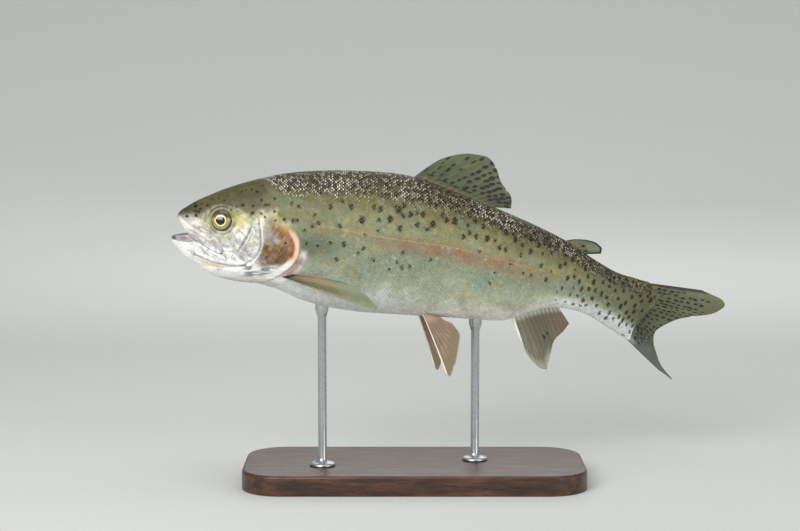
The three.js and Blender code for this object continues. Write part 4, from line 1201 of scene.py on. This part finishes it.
def row_through(stations):
    lines = [through([[s[0], s[k]] for s in stations]) for k in (1, 2, 3)]
    return lambda u: np.stack([line(u) for line in lines], -1)


def on_line(x0, x1, line):
    return lambda u: np.stack([mix(x0, x1, u), 0 * u, line(mix(x0, x1, u))], -1)


def ray_ridges(across, share):
    """1 on a ray, 0 on the skin between: each ray is single at its root and forks twice towards its tip."""
    f = across - np.floor(across) - 0.5
    first = 0.25 * smooth((share - 0.4) / 0.5)
    second = 0.11 * smooth((share - 0.68) / 0.3)
    width = mix(0.17, 0.07, smooth((share - 0.3) / 0.6))
    return sum(hill(f - s * first - r * second, width) for s in (-1, 1) for r in (-1, 1)) / (
        1 + 3 * hill(first, 0.06))


def fin(name, nodes, finish, slot, foot, tip, paint, rays, thick, spots=(), edge=0.5, rows=44, per_ray=12,
        notch=0.004, wave=0.5, splits=(), mirrored=False):
    """A thin fin of soft rays between its foot and its tips, folded round its edge like a closed leaf."""
    u = np.linspace(0, 1, rays * per_ray + 1)[None, :]
    fold = np.linspace(-1, 1, 2 * rows + 1)[:, None]
    k, u = np.broadcast_arrays(1 - np.abs(fold) ** 1.15, u)
    across = u * rays
    start, end = foot(u), tip(u)
    along = end - start
    length = np.linalg.norm(along, axis=-1, keepdims=True)
    along = along / length
    before, after = np.maximum(u - 0.02, 0), np.minimum(u + 0.02, 1)
    spread = mix(foot(after) - foot(before), tip(after) - tip(before), k[..., None])
    normal = np.cross(along, spread)
    normal /= np.linalg.norm(normal, axis=-1, keepdims=True)
    pitch = np.linalg.norm(spread, axis=-1) / ((after - before) * rays)
    ridges = clamp01(ray_ridges(across, k))
    # The skin draws back between the ends of the rays, and is torn in a few places.
    short = notch * (1 - clamp01(ray_ridges(across, np.ones_like(k))))
    for at, depth in splits:
        short = short + depth * hill(across - at, 0.16)
    reach = k * (1 - short * smooth((k - 0.5) / 0.5))
    start = start - along * FIN_SINK
    middle = mix(start, end, reach[..., None])
    middle = middle + normal * (wave * np.sin(across * 1.3 + 2.2 * k) * k**2)[..., None]
    half = mix(thick, edge, k**0.6) / 2 * (0.62 + 0.38 * ridges)
    half = half * np.sqrt(clamp01((1 - k) / 0.05)) * np.sqrt(clamp01(np.minimum(across, rays - across) / 0.3))
    half = np.where(np.abs(fold) == 1, 0, half)
    straight = middle + normal * (half * np.sign(fold))[..., None]
    if mirrored:
        straight = straight * (1, -1, 1)
    mm = k * (length[..., 0] + FIN_SINK) - FIN_SINK  # from the foot
    rim = np.minimum((1 - k) * length[..., 0], np.minimum(across, rays - across) * pitch)
    dark = np.zeros(k.shape)
    for a, b, wide, long, lean in spots:
        s, w = (across - a) * pitch, mm - b
        c, d = math.cos(math.radians(lean)), math.sin(math.radians(lean))
        dark = np.maximum(dark, smooth((1.25 - np.hypot((s * c - w * d) / wide, (w * c + s * d) / long)) / 0.4))
    colours = paint(across, mm, k, rim)
    colours = np.concatenate([colours, np.ones((*k.shape, 1))], -1)
    piece = sheet_piece(name, place(straight), {
        "ray": np.stack([across, mm, k], -1), "ridge": ridges, "straight": straight, "paint": colours,
        "spot": dark * smooth(rim / 0.5)})
    finish_piece(piece, finish, slot, *nodes)


def painted(base, *strokes):
    """A fin's colours: a base, and strokes of colour laid over it, each with where it lies."""
    def paint(across, mm, share, rim):
        c, lay = painting(*pigments(base), share.shape)
        for colour, where in strokes:
            lay(*pigments(colour), where(across, mm, share, rim))
        return c
    return paint


def spots_between_rays(seed, rays, first, step, length_of, wide, long, lean, keep):
    """Black spots in rows between the rays, shifted from ray to ray."""
    rng = np.random.default_rng(seed)
    spots = []
    for ray in range(rays):
        b = first + step * rng.uniform(0.1, 0.9)
        while b < length_of(ray / rays):
            if rng.random() < keep(ray / rays, b / length_of(ray / rays)):
                size = rng.uniform(0.75, 1.2)
                spots.append((ray + 0.5 + rng.normal(0, 0.12), b, wide * size, long * size * rng.uniform(0.8, 1.2),
                              lean + rng.normal(0, 9)))
            b += step * rng.uniform(0.8, 1.25)
    return spots


grey_skin = rayed_fin("spotted_fin_skin_over_pale_rays", 0.22)
warm_skin = rayed_fin("amber_fin_skin_over_pale_rays", 0.42)

DORSAL_TIPS = [
    [0, 164, 0.5, 54.5], [0.08, 175, 1, 63.4], [0.18, 192, 2, 69.4], [0.26, 202, 2.5, 69.8],
    [0.36, 210, 2.5, 65.2], [0.55, 215.5, 2, 55.4], [0.8, 225.4, 1, 45.8], [1, 227, 0.5, 38],
]
fin("fin_dorsal", ["dorsal_fin"], grey_skin, "grey_fin", on_line(157, 216, back_line), row_through(DORSAL_TIPS),
    painted("#4a5034",
            ("#585e42", lambda a, b, k, r: 0.6 * smooth((k - 0.45) / 0.4)),
            ("#3c402b", lambda a, b, k, r: 0.55 * smooth((a - 8) / 4)),
            ("#6f5f3c", lambda a, b, k, r: 0.6 * smooth((2.4 - b) / 1.6)),
            ("#2c2e22", lambda a, b, k, r: 0.6 * smooth((0.9 - a) / 0.5)),
            ("#676c4e", lambda a, b, k, r: 0.5 * smooth((1.6 - r) / 1.2) * smooth((a - 3) / 2))),
    rays=13, thick=2.2, splits=((9, 0.03), (5, 0.02)),
    spots=spots_between_rays(71, 13, 6, 5.0, lambda u: np.interp(u, [0, 0.2, 0.5, 1], [12, 42, 34, 15]), 1.2, 2.1,
                             -12, lambda u, k: 0.92 - 0.35 * smooth((k - 0.75) / 0.2))
    + [(a, 4.6, 0.8, 3.6, 84) for a in (1.6, 3.5, 5.4, 7.2)])

fin("fin_adipose", ["adipose_fin"], grey_skin, "grey_fin", on_line(272, 290, back_line), row_through([
    [0, 277, 0, 29.8], [0.3, 286, 0, 32.4], [0.55, 292, 0, 33], [0.8, 299, 0, 30.6], [1, 299.6, 0, 26.8],
]), painted("#596045",
            ("#7a5f38", lambda a, b, k, r: 0.8 * smooth((3.6 - b) / 2.4) * smooth((5.4 - a) / 3)),
            ("#757b63", lambda a, b, k, r: 0.6 * smooth((b - 3.5) / 2) * smooth((a - 3) / 2)),
            ("#101109", lambda a, b, k, r: smooth((1.7 - r) / 0.5))),
    rays=7, thick=2.4, edge=0.9, rows=24, notch=0.0, wave=0.1,
    spots=[(3.9, 4.0, 1.6, 1.5, 0), (5.6, 2.0, 1.4, 1.2, 0)])

fin("fin_anal", ["anal_fin"], warm_skin, "warm_fin", on_line(248, 283, belly_line), row_through([
    [0, 256, -1, -46.6], [0.1, 271, -1, -59.8], [0.2, 284, -2, -65], [0.28, 289, -2, -64],
    [0.42, 287.4, -2, -53.5], [0.65, 287.6, -1, -43], [0.85, 292.4, -1, -34], [1, 294.7, -1, -28.2],
]), painted("#56513f",
            ("#6c6a5a", lambda a, b, k, r: 0.75 * smooth((5 - a) / 3.5)),
            ("#b9bcae", lambda a, b, k, r: 0.8 * smooth((5 - b) / 4.5)),
            ("#6d5644", lambda a, b, k, r: 0.6 * smooth((a - 5) / 4) * (0.5 + 0.5 * np.sin(a * 6.3))),
            ("#a5a893", lambda a, b, k, r: 0.6 * smooth((k - 0.8) / 0.2) * smooth((7 - a) / 3)),
            ("#dcdcd0", lambda a, b, k, r: smooth((0.9 - a) / 0.5))),
    rays=12, thick=2.0, splits=((4, 0.03), (7, 0.02)),
    spots=[(5.2, 21, 1.2, 1.7, 0), (6.4, 19, 0.9, 1.3, 0)])

PECTORAL_FEET = row_through([[0, 76, -21, -30.2], [1, 83.4, -22.4, -27]])
PECTORAL_TIPS = row_through([
    [0, 133, -39, -44], [0.15, 138, -38.6, -42.4], [0.4, 131, -36, -35.4], [0.7, 116.6, -31.5, -28.4],
    [1, 104, -28.4, -27],
])
pectoral_paint = painted("#66684c",
    ("#6c7156", lambda a, b, k, r: smooth((k - 0.5) / 0.35)),
    ("#4b4c30", lambda a, b, k, r: 0.55 * hill(a - 2.6, 1.7) * smooth((0.75 - k) / 0.3)),
    ("#8c6f52", lambda a, b, k, r: 0.6 * hill(a - 5.6, 0.8) * smooth((0.9 - k) / 0.3)),
    ("#a07a5c", lambda a, b, k, r: 0.85 * smooth((a - 6) / 2.5) * smooth((0.78 - k) / 0.3)),
    ("#93492c", lambda a, b, k, r: 0.85 * smooth((a - 8.6) / 2) * smooth((0.76 - k) / 0.3)),
    ("#8f7d49", lambda a, b, k, r: smooth((0.8 - a) / 0.4) * smooth((0.8 - k) / 0.3)),
    ("#9aa08c", lambda a, b, k, r: 0.5 * smooth((1.0 - r) / 0.8) * smooth((k - 0.7) / 0.2)),
    ("#1c1a10", lambda a, b, k, r: 0.85 * smooth((2.6 - b) / 2)))
PELVIC_FEET = row_through([[0, 176.6, -8.6, -46.6], [1, 182.6, -9.8, -45.4]])
PELVIC_TIPS = row_through([
    [0, 200, -15, -83.4], [0.15, 204.2, -15, -85.4], [0.4, 206.6, -14.6, -72.4], [0.7, 206.4, -13.6, -57.6],
    [1, 198.6, -12, -48.4],
])
pelvic_paint = painted("#7f6a57",
    ("#6a654a", lambda a, b, k, r: 0.6 * smooth((k - 0.6) / 0.3)),
    ("#a8907f", lambda a, b, k, r: smooth((10 - b) / 9)),
    ("#957464", lambda a, b, k, r: 0.45 * smooth((a - 6) / 3)),
    ("#dcd5c8", lambda a, b, k, r: smooth((1.0 - a) / 0.45)),
    ("#c4bcae", lambda a, b, k, r: 0.5 * smooth((1.1 - r) / 0.9) * smooth((k - 0.5) / 0.1)))
for mirrored, side_name in ((False, "left"), (True, "right")):
    fin(f"fin_pectoral_{side_name}", [f"pectoral_fin_{side_name}"], warm_skin, "warm_fin", PECTORAL_FEET,
        PECTORAL_TIPS, pectoral_paint, rays=12, thick=2.2, rows=50, wave=0.4, mirrored=mirrored,
        spots=[(0.7 + 0.8 * (n % 2), 3 + 2.6 * n, 0.5, 1.0 - 0.05 * n, 0) for n in range(11)])
    fin(f"fin_pelvic_{side_name}", [f"pelvic_fin_{side_name}"], warm_skin, "warm_fin", PELVIC_FEET,
        PELVIC_TIPS, pelvic_paint, rays=10, thick=2.0, wave=0.4, splits=((3, 0.02),), mirrored=mirrored)

# The tail fin is one fin of two lobes. The first half of its rays stand in the upper lobe.
UPPER_LOBE = [
    [0, 384, 0, 34.6], [0.1, 400, 0, 35.2], [0.22, 406.4, 0, 31.4], [0.35, 401.6, 1, 23.2],
    [0.6, 386, 2.4, 14], [0.8, 375, 4, 4.8], [1, 366, 6, -7],
]
LOWER_LOBE = [
    [0.2, 370.6, 9, -15], [0.45, 380.5, 14, -22.8], [0.7, 396, 18.6, -30.6],
    [0.85, 402.6, 20, -33.2], [1, 388, 17, -31.6],
]
tail_paint = painted("#585b3f",
    ("#64674c", lambda a, b, k, r: 0.7 * smooth((k - 0.35) / 0.4) * smooth((10 - a) / 4)),
    ("#464a31", lambda a, b, k, r: 0.8 * hill(a - 11.5, 3.4) * smooth((0.9 - k) / 0.5)),
    ("#7a6242", lambda a, b, k, r: 0.55 * smooth((15 - b) / 10) * smooth((6.5 - a) / 3)),
    # The lower lobe's bluish grey is painted shade, for a lobe turned away from the light.
    ("#5f6560", lambda a, b, k, r: smooth((a - 15) / 4)),
    ("#b2b8b2", lambda a, b, k, r: 0.8 * smooth((a - 20.5) / 2) * smooth((16 - b) / 10)),
    ("#23241a", lambda a, b, k, r: 0.9 * smooth((0.9 - a) / 0.5) + 0.7 * smooth((a - 23.3) / 0.5)),
    ("#54584a", lambda a, b, k, r: 0.6 * smooth((1.4 - r) / 1.0) * smooth((k - 0.6) / 0.1)))
fin("fin_tail", ["tail_fin_upper", "tail_fin_lower"], grey_skin, "grey_fin",
    row_through([[0, 341.5, 0, 21.6], [0.5, 341.5, 0, -3], [1, 341.5, 0, -21.2]]),
    row_through([[s[0] / 2, *s[1:]] for s in UPPER_LOBE] + [[0.5 + s[0] / 2, *s[1:]] for s in LOWER_LOBE]),
    tail_paint, rays=24, thick=1.9, rows=60, per_ray=10, wave=0.6, splits=((7, 0.03), (15, 0.03)),
    spots=spots_between_rays(72, 21, 8, 5.0, lambda u: np.interp(u, [0, 0.1, 0.3, 0.6, 1], [30, 58, 54, 34, 26]),
                             0.95, 1.9, 0, lambda u, k: 0.97 - 0.4 * smooth((u - 0.75) / 0.3)
                             - 0.4 * smooth((k - 0.8) / 0.2)))

# ---------------------------------------------------------------- the stand


def oiled_walnut():
    """Walnut, planed, sanded and oiled: dark brown with darker pores along the grain, and a soft shine."""
    m, node = material("oiled_walnut")
    where = node("where")
    # Grain lines 2 to 4 mm apart, drawn out along the board.
    drawn = node("stretch", where, (14.0, 130.0, 130.0))
    bent = node("shift", drawn, node("noise", drawn, 0.35, 2.0, out=1))
    rings = node("noise", bent, 2.2, 6.0, 0.0, 0.62)
    pores = node("noise", node("stretch", where, (120.0, 1900.0, 1900.0)), 1.0, 2.0)
    colour = node("ramp", rings, stops=[(0.32, "#24140c"), (0.48, "#3d2416"), (0.6, "#55341f"), (0.74, "#6b452b")])
    colour = node("mix", node("step", pores, 0.58, 0.66), colour, linear("#1c0f09"))
    return surface(m, Base_Color=colour, Roughness=node("step", rings, 0.0, 1.0, 0.46, 0.34),
                   Normal=node("bump", 0.25, 0.0003, pores), Coat_Weight=0.15, Coat_Roughness=0.3)


def brushed_steel():
    """Stainless steel rod, turned and brushed: fine marks run round it and spread the highlight."""
    m, node = material("brushed_stainless_steel")
    marks = node("noise", node("stretch", node("where"), (300.0, 300.0, 5200.0)), 1.0, 3.0)
    return surface(m, Base_Color=node("ramp", marks, stops=[(0.35, "#a2a5a8"), (0.65, "#c6c8ca")]), Metallic=1.0,
                   Roughness=node("step", marks, 0.0, 1.0, 0.22, 0.38), Normal=node("bump", 0.12, 0.0001, marks))


BASE = dict(length=240, width=104, height=14, corner=26, bevel=2, x=-31, y=-11.8)
ROD = dict(radius=3, foot=9, foot_height=2.6, collar=4.6, collar_height=7)
ROD_STATIONS = {"front": 104, "rear": 220}


def select_edges(piece, chosen):
    bpy.ops.object.mode_set(mode="EDIT")
    bpy.ops.mesh.select_mode(type="EDGE")
    bpy.ops.mesh.select_all(action="DESELECT")
    bpy.ops.object.mode_set(mode="OBJECT")
    for e in piece.data.edges:
        a, b = (piece.data.vertices[i].co for i in e.vertices)
        e.select = bool(chosen(a, b))
    bpy.ops.object.mode_set(mode="EDIT")


def stand_board(walnut):
    deselect()
    length, width, height = BASE["length"] * MM, BASE["width"] * MM, BASE["height"] * MM
    bpy.ops.mesh.primitive_cube_add(size=1, scale=(length, width, height),
                                    location=(BASE["x"] * MM, BASE["y"] * MM, height / 2))
    bpy.ops.object.transform_apply(location=True, rotation=False, scale=True)
    board = started("walnut_base")
    select_edges(board, lambda a, b: abs(a.z - b.z) > height / 2)
    bpy.ops.mesh.bevel(offset=(BASE["corner"] + BASE["bevel"]) * MM, segments=20)
    for level, size in ((height, BASE["bevel"]), (0, 0.6)):
        select_edges(board, lambda a, b: abs(a.z - level) < 1e-6 and abs(b.z - level) < 1e-6)
        bpy.ops.mesh.bevel(offset=size * MM, segments=5)
    bpy.ops.object.mode_set(mode="OBJECT")
    bpy.ops.object.shade_smooth_by_angle(angle=math.radians(40))
    finish_piece(board, walnut, "stand_wood", "stand_base")


def stand_rod(which, steel):
    station = ROD_STATIONS[which]
    bottom = BASE["height"]
    top = place(np.array([station, 0, float(belly_line(station))])) / MM
    r, foot = ROD["radius"], ROD["foot"]
    profile = [  # radius and height, up the rod
        (foot - 0.4, bottom), (foot, bottom + 0.4), (foot, bottom + 1.3), (foot - 0.7, bottom + 2.1),
        (foot - 2, bottom + 2.5), (r + 1.6, bottom + 3), (r + 0.5, bottom + 4), (r, bottom + 5.4),
        (r, top[2] - ROD["collar_height"] - 0.4), (r + 0.5, top[2] - ROD["collar_height"] + 0.6),
        (ROD["collar"], top[2] - 2.4), (ROD["collar"], top[2] + 3.4),
    ]
    deselect()
    radius, level = profile[0]
    bpy.ops.mesh.primitive_circle_add(vertices=48, radius=radius * MM, fill_type="NGON",
                                      location=(top[0] * MM, top[1] * MM, level * MM))
    bpy.ops.object.transform_apply(location=True, rotation=False, scale=False)
    rod = started(f"steel_rod_{which}")
    bpy.ops.object.mode_set(mode="EDIT")
    bpy.ops.mesh.select_all(action="SELECT")
    centre = (top[0] * MM, top[1] * MM, 0)
    for new_radius, new_level in profile[1:]:
        bpy.ops.mesh.extrude_region_move(TRANSFORM_OT_translate={"value": (0, 0, (new_level - level) * MM)})
        bpy.ops.transform.resize(value=(new_radius / radius, new_radius / radius, 1), center_override=centre)
        radius, level = new_radius, new_level
    face_outwards()
    bpy.ops.object.shade_smooth_by_angle(angle=math.radians(50))
    finish_piece(rod, steel, "stand_steel", f"stand_rod_{which}")


walnut, steel = oiled_walnut(), brushed_steel()
stand_board(walnut)
stand_rod("front", steel)
stand_rod("rear", steel)

# ---------------------------------------------------------------- studio and camera


FLOOR_RADIUS, SWEEP_RADIUS, SWEEP_STEPS, WALL_HEIGHT = 1.3, 2.4, 12, 0.6  # metres


def studio():
    """A pale floor that sweeps up into a round backdrop, so no horizon shows from any side."""
    m, node = material("pale_matt_paper")
    fibres = node("noise", node("where"), 400.0, 3.0)
    surface(m, Base_Color=node("ramp", fibres, stops=[(0.3, "#c3c4c1"), (0.7, "#c7c8c5")]), Roughness=0.9)
    deselect()
    bpy.ops.mesh.primitive_circle_add(vertices=96, radius=FLOOR_RADIUS, fill_type="NGON")
    floor = bpy.context.object
    floor.name = "studio_floor"
    bpy.ops.object.mode_set(mode="EDIT")
    bpy.ops.mesh.select_all(action="SELECT")
    bpy.ops.mesh.select_mode(type="EDGE")
    bpy.ops.object.mode_set(mode="OBJECT")
    bpy.ops.object.mode_set(mode="EDIT")
    radius, level = FLOOR_RADIUS, 0.0
    bpy.ops.mesh.region_to_loop()
    for k in range(1, SWEEP_STEPS + 1):
        angle = math.radians(90) * k / SWEEP_STEPS
        new_radius = FLOOR_RADIUS + SWEEP_RADIUS * math.sin(angle)
        new_level = SWEEP_RADIUS * (1 - math.cos(angle))
        bpy.ops.mesh.extrude_edges_move(TRANSFORM_OT_translate={"value": (0, 0, new_level - level)})
        s = new_radius / radius
        bpy.ops.transform.resize(value=(s, s, 1), center_override=(0, 0, 0))
        radius, level = new_radius, new_level
    bpy.ops.mesh.extrude_edges_move(TRANSFORM_OT_translate={"value": (0, 0, WALL_HEIGHT)})
    bpy.ops.object.mode_set(mode="OBJECT")
    bpy.ops.object.shade_smooth_by_angle(angle=math.radians(30))
    floor.data.materials.append(m)


def softbox(name, at, aim, size, power):
    lamp = bpy.data.lights.new(name, "AREA")
    lamp.shape, lamp.size, lamp.size_y = "RECTANGLE", *size
    lamp.energy = power
    holder = bpy.data.objects.new(name, lamp)
    link(holder)
    holder.location = at
    holder.rotation_euler = (Vector(aim) - Vector(at)).to_track_quat("-Z", "Y").to_euler()


studio()
FISH = (0, 0, 0.17)
softbox("key", (-0.75, -1.25, 0.95), FISH, (1.0, 0.8), 22)
softbox("top", (0.0, -0.2, 1.6), FISH, (1.4, 0.9), 7)
softbox("fill", (1.2, -1.1, 0.5), FISH, (1.0, 0.8), 7)
softbox("rear", (0.2, 1.4, 0.9), FISH, (1.4, 0.7), 5)
softbox("wall", (0.0, 0.9, 1.3), (0, 3.2, 0.8), (2.0, 0.6), 16)

world = bpy.data.worlds.new("pale_room")
world.use_nodes = True
room = world.node_tree.nodes["Background"].inputs
room["Color"].default_value, room["Strength"].default_value = linear("#e9ecec"), 0.6
bpy.context.scene.world = world
bpy.context.scene.view_settings.view_transform = "Standard"

camera = bpy.data.objects.new("camera", bpy.data.cameras.new("camera"))
camera.data.lens, camera.data.sensor_width = LENS, SENSOR
camera.location = camera_place
camera.rotation_euler = (math.pi / 2 - CAMERA_ELEVATION, 0, 0)
link(camera)
bpy.context.scene.camera = camera
